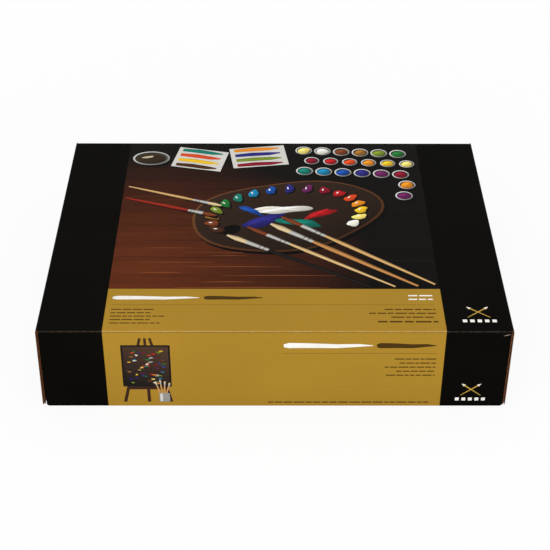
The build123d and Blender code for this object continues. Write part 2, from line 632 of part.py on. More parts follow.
giant_y = cap_end_y(GIANT_TUBE, medium_row_back)
giant_places = [
    (LARGE_WALL_X + DIVIDER / 2 + giant_bay / 2, giant_y, FLOOR_TOP + GIANT_TUBE["radius"] + REST_GAP)
]
place_tubes(GIANT_TUBE, giant_places, "tube_giant")

# Medium bottles lie on their sides in the bay right of the small tubes, necks to the left

bottle_base_x = INSIDE_HALF_WIDTH - ROW_END_GAP
bottle_room = bottle_base_x - (SMALL_WALL_X + DIVIDER / 2) - BOTTLE_END_SPARE
bottle_bay_mid_y = INSIDE_BACK_Y - SMALL_ROW_DEPTH / 2
bottle_step = 2 * BOTTLE_RADIUS + BOTTLE_GAP
bottle_z = FLOOR_TOP + BOTTLE_RADIUS + REST_GAP
bottle_ys = [bottle_bay_mid_y + (i - (BOTTLE_COUNT - 1) / 2) * bottle_step for i in range(BOTTLE_COUNT)]
SHOULDER = 8.0
NECK_STAND = 3.0
CAP_END_GAP = 4.0
bottle_length = bottle_room - NECK_STAND - BOTTLE_CAP_LENGTH


def bottle_shape(inset):
    """A bottle's revolved solid, smaller by inset all round, with its base at X 0 and neck at -X."""
    length = bottle_length
    with BuildPart() as shape:
        with BuildSketch(Plane.XZ):
            with BuildLine():
                Polyline(
                    (-inset, 0),
                    (-inset, BOTTLE_RADIUS - inset),
                    (-(length - SHOULDER - inset), BOTTLE_RADIUS - inset),
                    (-(length - inset), BOTTLE_NECK_RADIUS - inset),
                    (-(length + NECK_STAND + BOTTLE_CAP_LENGTH - CAP_END_GAP), BOTTLE_NECK_RADIUS - inset),
                    (-(length + NECK_STAND + BOTTLE_CAP_LENGTH - CAP_END_GAP), 0),
                    close=True,
                )
            make_face()
        revolve(axis=Axis.X)
    return shape.part


with BuildPart() as glass:
    add(bottle_shape(0))
    add(bottle_shape(BOTTLE_WALL), mode=Mode.SUBTRACT)

LIQUID_GAP = 0.1
with BuildPart() as liquid:
    add(bottle_shape(BOTTLE_WALL + LIQUID_GAP))
    with Locations((-bottle_length - NECK_STAND - 10, 0, 0)):
        Box(20, 4 * BOTTLE_RADIUS, 4 * BOTTLE_RADIUS, mode=Mode.SUBTRACT)

with BuildPart() as bottle_cap:
    with BuildSketch(Plane.YZ.offset(-bottle_length - NECK_STAND)):
        Circle(BOTTLE_CAP_RADIUS)
    extrude(amount=-BOTTLE_CAP_LENGTH)
    fillet(bottle_cap.faces().sort_by(Axis.X)[0].edges(), CAP_EDGE_RADIUS)
    with BuildSketch(Plane.YZ.offset(-bottle_length - NECK_STAND)):
        Circle(BOTTLE_NECK_RADIUS + CAP_SEAT_CLEARANCE)
    extrude(amount=-(BOTTLE_CAP_LENGTH - 3.5), mode=Mode.SUBTRACT)

for piece, label in ((glass, "bottles_glass"), (liquid, "bottles_medium"), (bottle_cap, "bottles_caps")):
    copies = [piece.part.moved(Location((bottle_base_x, y, bottle_z))) for y in bottle_ys]
    save(Compound(children=copies), label)

# Brushes lie along X in the front bay, heads to the right

brush_pitch = 2 * BRUSH_HANDLE_RADIUS + BRUSH_GAP
brush_bay_mid_y = (INSIDE_FRONT_Y + FRONT_DIVIDER_Y - DIVIDER / 2) / 2
brush_z = FLOOR_TOP + BRUSH_HANDLE_RADIUS + REST_GAP
brush_tail_x = LEFT_X + BRUSH_END_GAP
brush_ys = [brush_bay_mid_y + (i - (BRUSH_COUNT - 1) / 2) * brush_pitch for i in range(BRUSH_COUNT)]
brush_places = [(brush_tail_x + BRUSH_STAGGER * (i % 2), y, brush_z) for i, y in enumerate(brush_ys)]

with BuildPart() as brush_handle:
    with BuildSketch(Plane.XZ):
        with BuildLine():
            Line((0, 0), (0, BRUSH_TAIL_RADIUS))
            Spline(
                (0, BRUSH_TAIL_RADIUS),
                (BRUSH_HANDLE_LENGTH * 0.35, BRUSH_WAIST_RADIUS),
                (BRUSH_HANDLE_LENGTH * 0.8, BRUSH_HANDLE_RADIUS),
                (BRUSH_HANDLE_LENGTH, BRUSH_TENON_RADIUS),
            )
            Line((BRUSH_HANDLE_LENGTH, BRUSH_TENON_RADIUS), (BRUSH_HANDLE_LENGTH, 0))
            Line((BRUSH_HANDLE_LENGTH, 0), (0, 0))
        make_face()
    revolve(axis=Axis.X)

with BuildPart() as ferrule:
    with BuildSketch(Plane.YZ.offset(BRUSH_HANDLE_LENGTH)):
        Circle(FERRULE_RADIUS)
    with BuildSketch(Plane.YZ.offset(BRUSH_HANDLE_LENGTH + FERRULE_LENGTH)):
        Ellipse(*FERRULE_MOUTH)
    loft()

with BuildPart() as bristles:
    with BuildSketch(Plane.YZ.offset(BRUSH_HANDLE_LENGTH + FERRULE_LENGTH)):
        Ellipse(*BRISTLE_ROOT)
    with BuildSketch(Plane.YZ.offset(BRUSH_HANDLE_LENGTH + FERRULE_LENGTH + BRISTLE_LENGTH)):
        Ellipse(*BRISTLE_TIP)
    loft()

brush_pieces = {"brush_handles": brush_handle, "brush_ferrules": ferrule, "brush_bristles": bristles}
for label, piece in brush_pieces.items():
    save(Compound(children=[piece.part.moved(Location(p)) for p in brush_places]), label)

# Palette knives lie along Y in the bay right of the giant tube

knife_bay_left = GIANT_WALL_X + DIVIDER / 2
knife_bay_mid_x = (knife_bay_left + INSIDE_HALF_WIDTH) / 2
knife_room = INSIDE_HALF_WIDTH - knife_bay_left - 2 * KNIFE_SIDE_GAP
knife_pitch = (knife_room - KNIFE_BLADE_WIDTH) / (KNIFE_COUNT - 1)
knife_z = FLOOR_TOP + KNIFE_HANDLE_RADIUS + REST_GAP
knife_y = FRONT_DIVIDER_Y + DIVIDER / 2 + KNIFE_END_GAP
knife_xs = [knife_bay_mid_x + (i - (KNIFE_COUNT - 1) / 2) * knife_pitch for i in range(KNIFE_COUNT)]
knife_places = [(x, knife_y, knife_z) for x in knife_xs]

with BuildPart() as knife_handle:
    with BuildSketch(Plane.XY):
        with BuildLine():
            Line((0, 0), (KNIFE_BUTT_RADIUS, 0))
            Spline(
                (KNIFE_BUTT_RADIUS, 0),
                (KNIFE_HANDLE_RADIUS, KNIFE_HANDLE_LENGTH * 0.3),
                (KNIFE_GRIP_RADIUS, KNIFE_HANDLE_LENGTH * 0.75),
                (KNIFE_NECK_RADIUS, KNIFE_HANDLE_LENGTH),
            )
            Line((KNIFE_NECK_RADIUS, KNIFE_HANDLE_LENGTH), (0, KNIFE_HANDLE_LENGTH))
            Line((0, KNIFE_HANDLE_LENGTH), (0, 0))
        make_face()
    revolve(axis=Axis.Y)

with BuildPart() as knife_shank:
    with BuildSketch(Plane.XZ.offset(-KNIFE_HANDLE_LENGTH)):
        Circle(KNIFE_SHANK_RADIUS)
    extrude(amount=-SHANK_LENGTH)

blade_root_y = KNIFE_HANDLE_LENGTH + SHANK_LENGTH
with BuildPart() as knife_blade:
    with BuildSketch(Plane.XY.offset(-KNIFE_BLADE / 2)):
        with BuildLine():
            Polyline(
                (0, blade_root_y + KNIFE_BLADE_LENGTH),
                (-KNIFE_BLADE_WIDTH / 2, blade_root_y + KNIFE_BLADE_SHOULDER),
                (-KNIFE_SHANK_RADIUS, blade_root_y),
                (KNIFE_SHANK_RADIUS, blade_root_y),
                (KNIFE_BLADE_WIDTH / 2, blade_root_y + KNIFE_BLADE_SHOULDER),
                close=True,
            )
        make_face()
    extrude(amount=KNIFE_BLADE)
    fillet(knife_blade.edges().filter_by(Axis.Z).sort_by(Axis.Y)[-1], KNIFE_TIP_RADIUS)

knife_pieces = {"knife_handles": knife_handle, "knife_shanks": knife_shank, "knife_blades": knife_blade}
for label, piece in knife_pieces.items():
    save(Compound(children=[piece.part.moved(Location(p)) for p in knife_places]), label)

# Double palette cup with its spring clip, in the bay right of the brushes

cup_bay_mid_x = (BRUSH_WALL_X + DIVIDER / 2 + INSIDE_HALF_WIDTH) / 2
CLIP = 1.0
CLIP_WIDTH = 14.0
with BuildPart() as cups:
    for side in (-1, 1):
        with BuildSketch(Plane.XY.offset(FLOOR_TOP + CLIP)):
            with Locations((cup_bay_mid_x + side * CUP_SPACING / 2, brush_bay_mid_y)):
                Circle(CUP_RADIUS)
        extrude(amount=CUP_HEIGHT)
        with BuildSketch(Plane.XY.offset(FLOOR_TOP + CLIP + CUP_WALL)):
            with Locations((cup_bay_mid_x + side * CUP_SPACING / 2, brush_bay_mid_y)):
                Circle(CUP_RADIUS - CUP_WALL)
        extrude(amount=CUP_HEIGHT, mode=Mode.SUBTRACT)
save(cups.part, "palette_cups")

with BuildPart() as cup_clip:
    with BuildSketch(Plane.XY.offset(FLOOR_TOP)):
        with Locations((cup_bay_mid_x, brush_bay_mid_y)):
            SlotOverall(CUP_SPACING + CLIP_WIDTH, CLIP_WIDTH)
    extrude(amount=CLIP)
save(cup_clip.part, "palette_cup_clip")
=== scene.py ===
from functools import partial
import math
import random

import bmesh
import bpy
from bpy.props import FloatProperty, FloatVectorProperty, IntProperty
from mathutils import Matrix, Vector


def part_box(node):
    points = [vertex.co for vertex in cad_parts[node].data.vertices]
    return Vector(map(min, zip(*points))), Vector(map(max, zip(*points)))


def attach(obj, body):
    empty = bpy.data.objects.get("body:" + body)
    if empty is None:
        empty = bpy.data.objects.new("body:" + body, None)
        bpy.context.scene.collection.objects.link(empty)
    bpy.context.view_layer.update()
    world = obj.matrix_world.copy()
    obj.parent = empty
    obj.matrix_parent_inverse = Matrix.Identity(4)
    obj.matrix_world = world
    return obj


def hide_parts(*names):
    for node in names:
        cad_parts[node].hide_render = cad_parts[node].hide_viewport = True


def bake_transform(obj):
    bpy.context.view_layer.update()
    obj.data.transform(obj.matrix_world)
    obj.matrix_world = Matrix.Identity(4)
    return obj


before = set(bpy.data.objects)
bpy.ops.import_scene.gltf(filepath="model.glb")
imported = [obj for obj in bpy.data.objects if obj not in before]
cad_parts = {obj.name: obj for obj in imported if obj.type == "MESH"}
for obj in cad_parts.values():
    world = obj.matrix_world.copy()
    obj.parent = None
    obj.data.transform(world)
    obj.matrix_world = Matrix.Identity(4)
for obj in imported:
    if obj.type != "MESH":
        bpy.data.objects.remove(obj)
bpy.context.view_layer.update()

bl_info = {
    "name": "Oil Paint Set Box",
    "version": (1, 0, 0),
    "blender": (4, 5, 0),
    "location": "View3D > Sidebar > Paint Set",
    "description": "Builds a printed carton with a wooden paint chest, its tubes and its tools",
    "category": "Object",
}

MM = 0.001

# The carton's outside, from the frame
TOP_LOW, TOP_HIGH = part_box("carton_top_panel")
FRONT_LOW, FRONT_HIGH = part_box("carton_front_flap")
HALF_WIDTH = TOP_HIGH.x
HALF_DEPTH = TOP_HIGH.y
HEIGHT = TOP_HIGH.z
BOARD = TOP_HIGH.z - TOP_LOW.z


# The gold centre of the print, in millimetres from the middle of the top
GOLD_LEFT, GOLD_RIGHT, GOLD_TOP = -173.0, 172.0, -112.0

# Both end flaps stand a little open, in degrees from upright
FLAP_SPRING = {"left": 0.8, "right": 0.15}
FLAP_FOOT_GAP = 1 * MM
CORNER_TAB_WIDTH = 32 * MM
SCREW_HEAD = 3.0 * MM


# Colours and shading


def linear(value):
    """One sRGB channel, 0 to 1, as linear light."""
    return value / 12.92 if value <= 0.04045 else ((value + 0.055) / 1.055) ** 2.4


def ink(r, g, b):
    """An sRGB colour of 0 to 255 as a linear colour with alpha."""
    return (linear(r / 255), linear(g / 255), linear(b / 255), 1.0)


def lighter(colour, factor):
    """A colour made lighter, or darker where the factor is under 1."""
    return tuple(min(1.0, max(0.0, c * factor)) for c in colour[:3]) + (1.0,)


def blend_ink(a, b, t):
    """A colour between two; t is the share of the second."""
    t = min(1.0, max(0.0, t))
    return tuple(a[i] * (1 - t) + b[i] * t for i in range(3)) + (1.0,)


class Finish:
    """One material and the few kinds of node that its recipe is made of."""

    def __init__(self, name, colour, roughness, metallic=0.0, specular=0.5, **sockets):
        self.material = bpy.data.materials.new(name)
        self.material.use_nodes = True
        self.tree = self.material.node_tree
        self.shader = self.tree.nodes["Principled BSDF"]
        self.set("Base Color", colour)
        self.set("Roughness", roughness)
        self.set("Metallic", metallic)
        self.set("Specular IOR Level", specular)
        for key, value in sockets.items():
            self.set(key.replace("_", " "), value)
        self.material.diffuse_color = colour

    def set(self, socket, value):
        """Gives one socket of the shader a fixed value."""
        self.shader.inputs[socket].default_value = value

    def node(self, kind, **inputs):
        """A new node, with its sockets or settings filled in by name."""
        made = self.tree.nodes.new(kind)
        for key, value in inputs.items():
            name = key.replace("_", " ")
            if name in made.inputs:
                made.inputs[name].default_value = value
            else:
                setattr(made, key, value)
        return made

    def link(self, source, target):
        self.tree.links.new(source, target)

    def feed(self, source, socket):
        """Links an output to one socket of the shader."""
        self.link(source, self.shader.inputs[socket])

    def math(self, operation, a, b=None):
        """A sum of one or two values, each a number or another node's output."""
        made = self.tree.nodes.new("ShaderNodeMath")
        made.operation = operation
        for i, value in enumerate((a, b)):
            if value is None:
                continue
            if isinstance(value, (int, float)):
                made.inputs[i].default_value = value
            else:
                self.link(value, made.inputs[i])
        return made.outputs[0]

    def coordinates(self, scale=(1, 1, 1)):
        """Places on the object in metres, stretched by scale."""
        mapping = self.node("ShaderNodeMapping")
        mapping.inputs["Scale"].default_value = scale
        self.link(self.node("ShaderNodeTexCoord").outputs["Object"], mapping.inputs["Vector"])
        return mapping.outputs[0]

    def noise(self, vector, scale, detail=3.0, roughness=0.5, distortion=0.0):
        made = self.node(
            "ShaderNodeTexNoise", Scale=scale, Detail=detail, Roughness=roughness, Distortion=distortion,
        )
        self.link(vector, made.inputs["Vector"])
        return made.outputs["Fac"]

    def ramp(self, value, stops):
        """Colours by value; each stop is a place and its colour."""
        made = self.tree.nodes.new("ShaderNodeValToRGB")
        bar = made.color_ramp
        while len(bar.elements) < len(stops):
            bar.elements.new(0.5)
        for element, (place, colour) in zip(bar.elements, stops):
            element.position = place
            element.color = colour
        self.link(value, made.inputs[0])
        return made.outputs[0]

    def mix(self, factor, a, b, how="MIX"):
        made = self.tree.nodes.new("ShaderNodeMix")
        made.data_type = "RGBA"
        made.blend_type = how
        made.clamp_factor = True
        for socket, value in ((made.inputs[0], factor), (made.inputs[6], a), (made.inputs[7], b)):
            if isinstance(value, (int, float, tuple)):
                socket.default_value = value
            else:
                self.link(value, socket)
        return made.outputs[2]

    def rough_between(self, value, low, high):
        """Lets a pattern drive the roughness between two values."""
        made = self.tree.nodes.new("ShaderNodeMapRange")
        self.link(value, made.inputs[0])
        made.inputs[3].default_value = low
        made.inputs[4].default_value = high
        self.feed(made.outputs[0], "Roughness")

    def bump(self, height, distance, strength=1.0):
        """Lets a pattern tilt the surface; distance is its height in metres."""
        made = self.tree.nodes.new("ShaderNodeBump")
        made.inputs["Strength"].default_value = strength
        made.inputs["Distance"].default_value = distance
        self.link(height, made.inputs["Height"])
        self.feed(made.outputs[0], "Normal")


MADE = {}


def finish_named(name):
    """A finish's material, made the first time it is asked for."""
    if name not in MADE:
        MADE[name] = FINISHES[name]().material
    return MADE[name]


def step_above(f, value, edge, soft=0.00025):
    """0 below the edge and 1 above it, with a soft step as wide as a printed edge."""
    made = f.tree.nodes.new("ShaderNodeMapRange")
    made.inputs[1].default_value = edge - soft
    made.inputs[2].default_value = edge + soft
    f.link(value, made.inputs[0])
    return made.outputs[0]


def near_line(f, value, line, width):
    """1 on a line across the blank, falling to 0 at width on both sides."""
    away = f.math("ABSOLUTE", f.math("SUBTRACT", value, line))
    return f.math("SUBTRACT", 1.0, f.math("MINIMUM", f.math("DIVIDE", away, width), 1.0))


def finish_printed_board():
    """Coated paper, black at both ends and gold between them, read from the flat blank."""
    look = bpy.context.scene.paint_carton
    f = Finish("printed_board", ink(20, 19, 18), 0.4, specular=look.gloss)
    blank = f.node("ShaderNodeUVMap", uv_map="blank").outputs[0]
    split = f.node("ShaderNodeSeparateXYZ")
    f.link(blank, split.inputs[0])
    across, along = split.outputs[0], split.outputs[1]
    right_of_gold = f.math("SUBTRACT", 1.0, step_above(f, across, GOLD_RIGHT * MM))
    in_gold = f.math("MULTIPLY", step_above(f, across, GOLD_LEFT * MM), right_of_gold)
    in_gold = f.math("MULTIPLY", in_gold, f.math("SUBTRACT", 1.0, step_above(f, along, GOLD_TOP * MM)))
    cloud = f.noise(f.coordinates(), 9.0, 4.0)
    black = f.ramp(cloud, [(0.3, lighter(look.black, 0.85)), (0.7, lighter(look.black, 1.2))])
    gold = f.ramp(cloud, [(0.25, lighter(look.gold, 0.94)), (0.75, lighter(look.gold, 1.05))])
    colour = f.mix(in_gold, black, gold)
    # the ink is rubbed thin along the creases, and the pale line there is also a painted highlight of the
    # fold, stronger on the gold
    rub = f.noise(f.coordinates(), 160.0, 5.0, 0.7)
    rubbed = f.ramp(rub, [(0.42, (0, 0, 0, 1)), (0.62, (1, 1, 1, 1))])
    front_crease = near_line(f, along, -HALF_DEPTH, 0.8 * MM)
    end_crease = f.math(
        "MAXIMUM", near_line(f, across, -HALF_WIDTH, 1.2 * MM), near_line(f, across, HALF_WIDTH, 1.2 * MM),
    )
    back_crease = near_line(f, along, HALF_DEPTH, 1.0 * MM)
    crease = f.math("MAXIMUM", front_crease, f.math("MAXIMUM", end_crease, back_crease))
    crease_wear_and_highlight = f.math("MULTIPLY", crease, f.math("ADD", f.math("MULTIPLY", rubbed, 0.14), 0.05))
    crease_wear_and_highlight = f.math("MULTIPLY", crease_wear_and_highlight, f.math("ADD", f.math("MULTIPLY", in_gold, 1.1), 0.5))
    colour = f.mix(crease_wear_and_highlight, colour, ink(210, 198, 182))
    f.feed(colour, "Base Color")
    # the flutes below read through the paper as a faint washboard
    wave = f.math("SINE", f.math("MULTIPLY", along, 2 * math.pi / look.flute_pitch))
    grain = f.noise(f.coordinates(), 900.0, 2.0)
    height = f.math("ADD", f.math("MULTIPLY", wave, 0.5), f.math("MULTIPLY", grain, 0.12))
    f.bump(height, 0.00006)
    f.rough_between(rub, 0.36, 0.5)
    return f


def finish_kraft():
    """Bare brown paper with fibres and clouds."""
    look = bpy.context.scene.paint_carton
    f = Finish("kraft", look.kraft, 0.85, specular=0.2)
    where = f.coordinates()
    fibre = f.noise(f.coordinates((420, 60, 120)), 1.0, 6.0, 0.7, 0.4)
    cloud = f.noise(where, 14.0, 4.0)
    base = f.ramp(cloud, [(0.3, lighter(look.kraft, 0.86)), (0.7, lighter(look.kraft, 1.12))])
    speck = f.ramp(
        fibre,
        [
            (0.36, lighter(look.kraft, 0.62)), (0.5, lighter(look.kraft, 1.0)),
            (0.68, lighter(look.kraft, 1.3)),
        ],
    )
    f.feed(f.mix(0.42, base, speck), "Base Color")
    f.bump(fibre, 0.00008, 0.6)
    return f


def finish_fluting():
    """The rougher paper of the corrugated layer, darker than the kraft: partly its own colour, partly
    painted shade between the liners.
    """
    look = bpy.context.scene.paint_carton
    f = Finish("fluting", lighter(look.kraft, 0.6), 0.9, specular=0.1)
    fibre = f.noise(f.coordinates((300, 300, 300)), 1.0, 5.0, 0.7)
    f.feed(
        f.ramp(fibre, [(0.35, lighter(look.kraft, 0.4)), (0.65, lighter(look.kraft, 0.7))]), "Base Color",
    )
    return f


def finish_cut_edge():
    """The cut edge of the liners: bare kraft darkened to a reddish brown, as painted shade."""
    look = bpy.context.scene.paint_carton
    f = Finish("shaded_cut_edge", lighter(look.kraft, 0.4), 0.9, specular=0.1)
    fibre = f.noise(f.coordinates((500, 500, 500)), 1.0, 5.0, 0.7)
    red = ink(92, 48, 28)
    f.feed(f.ramp(fibre, [(0.35, lighter(red, 0.55)), (0.65, lighter(red, 1.35))]), "Base Color")
    return f


def finish_printed_picture():
    """Four-colour print: the ink is a corner colour, broken by a fine screen."""
    f = Finish("printed_picture", ink(60, 40, 30), 0.36, specular=0.02)
    inks = f.node("ShaderNodeVertexColor", layer_name="ink").outputs[0]
    screen = f.noise(f.coordinates(), 1500.0, 1.0)
    cloud = f.noise(f.coordinates((60, 900, 900)), 1.0, 3.0, 0.6)
    dots = f.ramp(screen, [(0.3, (0.90, 0.90, 0.90, 1)), (0.7, (1.08, 1.08, 1.08, 1))])
    grain = f.ramp(cloud, [(0.3, (0.86, 0.86, 0.86, 1)), (0.7, (1.1, 1.1, 1.1, 1))])
    f.feed(f.mix(1.0, f.mix(1.0, inks, dots, "MULTIPLY"), grain, "MULTIPLY"), "Base Color")
    return f


def wood_finish(name, dark, light, scale, roughness, coat):
    """Wood with long grain; scale stretches the grain along one axis."""
    f = Finish(name, dark, roughness, specular=0.4, Coat_Weight=coat, Coat_Roughness=0.25)
    where = f.coordinates(scale)
    grain = f.noise(where, 1.0, 8.0, 0.62, 0.6)
    pores = f.noise(f.coordinates(tuple(s * 6 for s in scale)), 1.0, 4.0, 0.7)
    colour = f.ramp(grain, [(0.28, dark), (0.5, blend_ink(dark, light, 0.45)), (0.72, light)])
    colour = f.mix(
        f.ramp(pores, [(0.3, (0.55, 0.55, 0.55, 1)), (0.45, (0, 0, 0, 1))]), colour, lighter(dark, 0.5),
    )
    f.feed(colour, "Base Color")
    f.rough_between(grain, roughness - 0.06, roughness + 0.1)
    f.bump(pores, 0.00012, 0.5)
    return f


def chest_wood_finish(name, grain):
    """The chest's stained wood, with its grain along one axis."""
    stain = bpy.context.scene.paint_chest.stain
    return wood_finish(name, lighter(stain, 0.6), lighter(stain, 1.5), grain, 0.42, 0.25)


def finish_palette_wood():
    """Thin varnished plywood."""
    return wood_finish("palette_wood", ink(128, 84, 46), ink(196, 148, 92), (4, 70, 30), 0.34, 0.5)


def finish_handle_wood():
    """Lacquered brush and knife handles."""
    return wood_finish("handle_wood", ink(92, 44, 22), ink(160, 92, 48), (12, 260, 260), 0.25, 0.8)


def metal_finish(name, colour, roughness, metallic=1.0, brushed=(400, 30, 400)):
    """Metal with fine brushed lines and faint smudges."""
    f = Finish(name, colour, roughness, metallic)
    lines = f.noise(f.coordinates(brushed), 1.0, 4.0, 0.6)
    smudge = f.noise(f.coordinates(), 45.0, 3.0)
    f.feed(f.ramp(smudge, [(0.3, lighter(colour, 0.86)), (0.7, lighter(colour, 1.08))]), "Base Color")
    f.rough_between(lines, roughness - 0.07, roughness + 0.12)
    f.bump(lines, 0.00002, 0.4)
    return f


def finish_tube_metal():
    """Soft tube metal with shallow dents."""
    f = metal_finish("tube_metal", ink(208, 208, 204), 0.34, 0.85, (60, 60, 60))
    dents = f.noise(f.coordinates(), 120.0, 2.0)
    f.bump(dents, 0.0004, 0.5)
    return f


def finish_tube_label():
    """Lacquered label; its colour is a face colour on the tube."""
    f = Finish("tube_label", ink(200, 190, 160), 0.35, specular=0.4)
    inks = f.node("ShaderNodeVertexColor", layer_name="ink").outputs[0]
    dents = f.noise(f.coordinates(), 120.0, 2.0)
    f.feed(f.mix(0.12, inks, f.ramp(dents, [(0.3, (0.2, 0.2, 0.2, 1)), (0.7, (1, 1, 1, 1))])), "Base Color")
    f.bump(dents, 0.0004, 0.5)
    return f


def finish_cap_plastic():
    """Moulded dark plastic with a fine grain."""
    f = Finish("cap_plastic", ink(30, 29, 28), 0.4, specular=0.45)
    fine = f.noise(f.coordinates(), 1400.0, 2.0)
    f.feed(f.ramp(fine, [(0.3, ink(26, 25, 24)), (0.7, ink(38, 37, 36))]), "Base Color")
    f.bump(fine, 0.00003, 0.5)
    return f


def finish_glass():
    """Clear glass with a faint ripple."""
    f = Finish("glass", ink(244, 247, 244), 0.03, Transmission_Weight=1.0, IOR=1.48)
    ripple = f.noise(f.coordinates(), 60.0, 2.0)
    f.bump(ripple, 0.0001, 0.3)
    return f


def finish_medium():
    """Amber liquid, partly clear."""
    f = Finish("medium", ink(214, 160, 62), 0.08, Transmission_Weight=0.85, IOR=1.46)
    swirl = f.noise(f.coordinates(), 24.0, 2.0)
    f.feed(f.ramp(swirl, [(0.3, ink(206, 148, 50)), (0.7, ink(226, 178, 84))]), "Base Color")
    return f


def finish_bristle():
    """Hog bristle, streaked along its length."""
    f = Finish("bristle", ink(206, 182, 138), 0.6, specular=0.35)
    strand = f.noise(f.coordinates((6, 900, 900)), 1.0, 3.0, 0.6)
    f.feed(
        f.ramp(strand, [(0.3, ink(150, 118, 74)), (0.5, ink(206, 180, 134)), (0.7, ink(232, 214, 176))]),
        "Base Color",
    )
    return f


def finish_paper_label():
    """Uncoated label; its colour is a face colour on the bottle."""
    f = Finish("paper_label", ink(232, 224, 204), 0.6, specular=0.3)
    inks = f.node("ShaderNodeVertexColor", layer_name="ink").outputs[0]
    fibre = f.noise(f.coordinates(), 500.0, 3.0)
    f.feed(f.mix(0.08, inks, f.ramp(fibre, [(0.3, (0.5, 0.5, 0.5, 1)), (0.7, (1, 1, 1, 1))])), "Base Color")
    return f


FINISHES = {
    "printed_board": finish_printed_board,
    "kraft": finish_kraft,
    "fluting": finish_fluting,
    "shaded_cut_edge": finish_cut_edge,
    "printed_picture": finish_printed_picture,
    "chest_wood_across": partial(chest_wood_finish, "chest_wood_across", (3.5, 90, 90)),
    "chest_wood_deep": partial(chest_wood_finish, "chest_wood_deep", (90, 3.5, 90)),
    "palette_wood": finish_palette_wood,
    "handle_wood": finish_handle_wood,
    "brass": partial(metal_finish, "brass", ink(206, 162, 84), 0.26),
    "steel": partial(metal_finish, "steel", ink(188, 188, 186), 0.24),
    "tinplate": partial(metal_finish, "tinplate", ink(206, 207, 208), 0.16),
    "aluminium": partial(metal_finish, "aluminium", ink(202, 202, 200), 0.3),
    "tube_metal": finish_tube_metal,
    "tube_label": finish_tube_label,
    "cap_plastic": finish_cap_plastic,
    "glass": finish_glass,
    "medium": finish_medium,
    "bristle": finish_bristle,
    "paper_label": finish_paper_label,
}


# Meshes


class Mesh:
    """Collects corners, faces, blank coordinates and inks, then becomes one object."""

    def __init__(self):
        self.points, self.faces, self.slots, self.blanks, self.inks, self.smooth = [], [], [], [], [], []

    def face(self, corners, slot=0, blank=None, inks=None, smooth=False):
        start = len(self.points)
        self.points.extend(Vector(c) for c in corners)
        self.faces.append(tuple(range(start, start + len(corners))))
        self.slots.append(slot)
        self.blanks.append(blank or [(0.0, 0.0)] * len(corners))
        if inks is None:
            inks = (1, 1, 1, 1)
        self.inks.append(inks if isinstance(inks, list) else [inks] * len(corners))
        self.smooth.append(smooth)

    def object(self, name, finishes, merge=True, normals=False):
        data = bpy.data.meshes.new(name)
        data.from_pydata(self.points, [], self.faces)
        data.uv_layers.new(name="blank")
        data.color_attributes.new("ink", "FLOAT_COLOR", "CORNER")
        data.uv_layers["blank"].data.foreach_set(
            "uv", [n for blank in self.blanks for uv in blank for n in uv],
        )
        data.color_attributes["ink"].data.foreach_set(
            "color", [n for inks in self.inks for c in inks for n in c],
        )
        for finish in finishes:
            data.materials.append(finish_named(finish))
        for polygon, slot, smooth in zip(data.polygons, self.slots, self.smooth):
            polygon.material_index = slot
            polygon.use_smooth = smooth
        if merge:
            edit = bmesh.new()
            edit.from_mesh(data)
            bmesh.ops.remove_doubles(edit, verts=edit.verts, dist=1e-6)
            if normals:
                bmesh.ops.recalc_face_normals(edit, faces=edit.faces)
            edit.to_mesh(data)
            edit.free()
        made = bpy.data.objects.new(name, data)
        bpy.context.scene.collection.objects.link(made)
        return made


def keep(obj, body, slot, *nodes):
    """Sets a finished piece on its body, and hides the nodes that it stands for. The slot is not used."""
    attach(obj, body)
    if nodes:
        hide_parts(*nodes)
    return obj


def dress(node, finish):
    """Gives a carried-over node its finish."""
    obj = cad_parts[node]
    if not obj.material_slots:
        obj.data.materials.append(finish_named(finish))
    for slot in obj.material_slots:
        slot.material = finish_named(finish)


# Corrugated boards

PRINT_DEPTH = 0.1 * MM
LINER = 0.3 * MM
FLUTE_PAPER = 0.18 * MM
BOARD_FINISHES = ("printed_board", "kraft", "fluting", "shaded_cut_edge")


def rounded_outline(u0, u1, v0, v1, radii):
    """A rectangle's outline; radii are those of its corners from low u, low v, going round."""
    outline = []
    corners = ((u0, v0, 180), (u1, v0, 270), (u1, v1, 0), (u0, v1, 90))
    for (u, v, start), radius in zip(corners, radii):
        if radius <= 0:
            outline.append((u, v))
            continue
        cu = u + radius if u == u0 else u - radius
        cv = v + radius if v == v0 else v - radius
        for k in range(7):
            angle = math.radians(start + 15 * k)
            outline.append((cu + radius * math.cos(angle), cv + radius * math.sin(angle)))
    return outline


def add_slab(mesh, place, outline, near, far, slots, blank):
    """A flat sheet between two depths below the board's outer face."""
    top = [place(u, v, near) for u, v in outline]
    bottom = [place(u, v, far) for u, v in outline]
    uv = [blank(u, v) for u, v in outline]
    mesh.face(top, slots[0], uv)
    mesh.face(bottom[::-1], slots[1], uv[::-1])
    n = len(outline)
    for i in range(n):
        j = (i + 1) % n
        mesh.face((top[i], bottom[i], bottom[j], top[j]), slots[2], [uv[i], uv[i], uv[j], uv[j]])


def unprinted(u, v):
    """Bare board has no place on the printed blank."""
    return (0, 0)


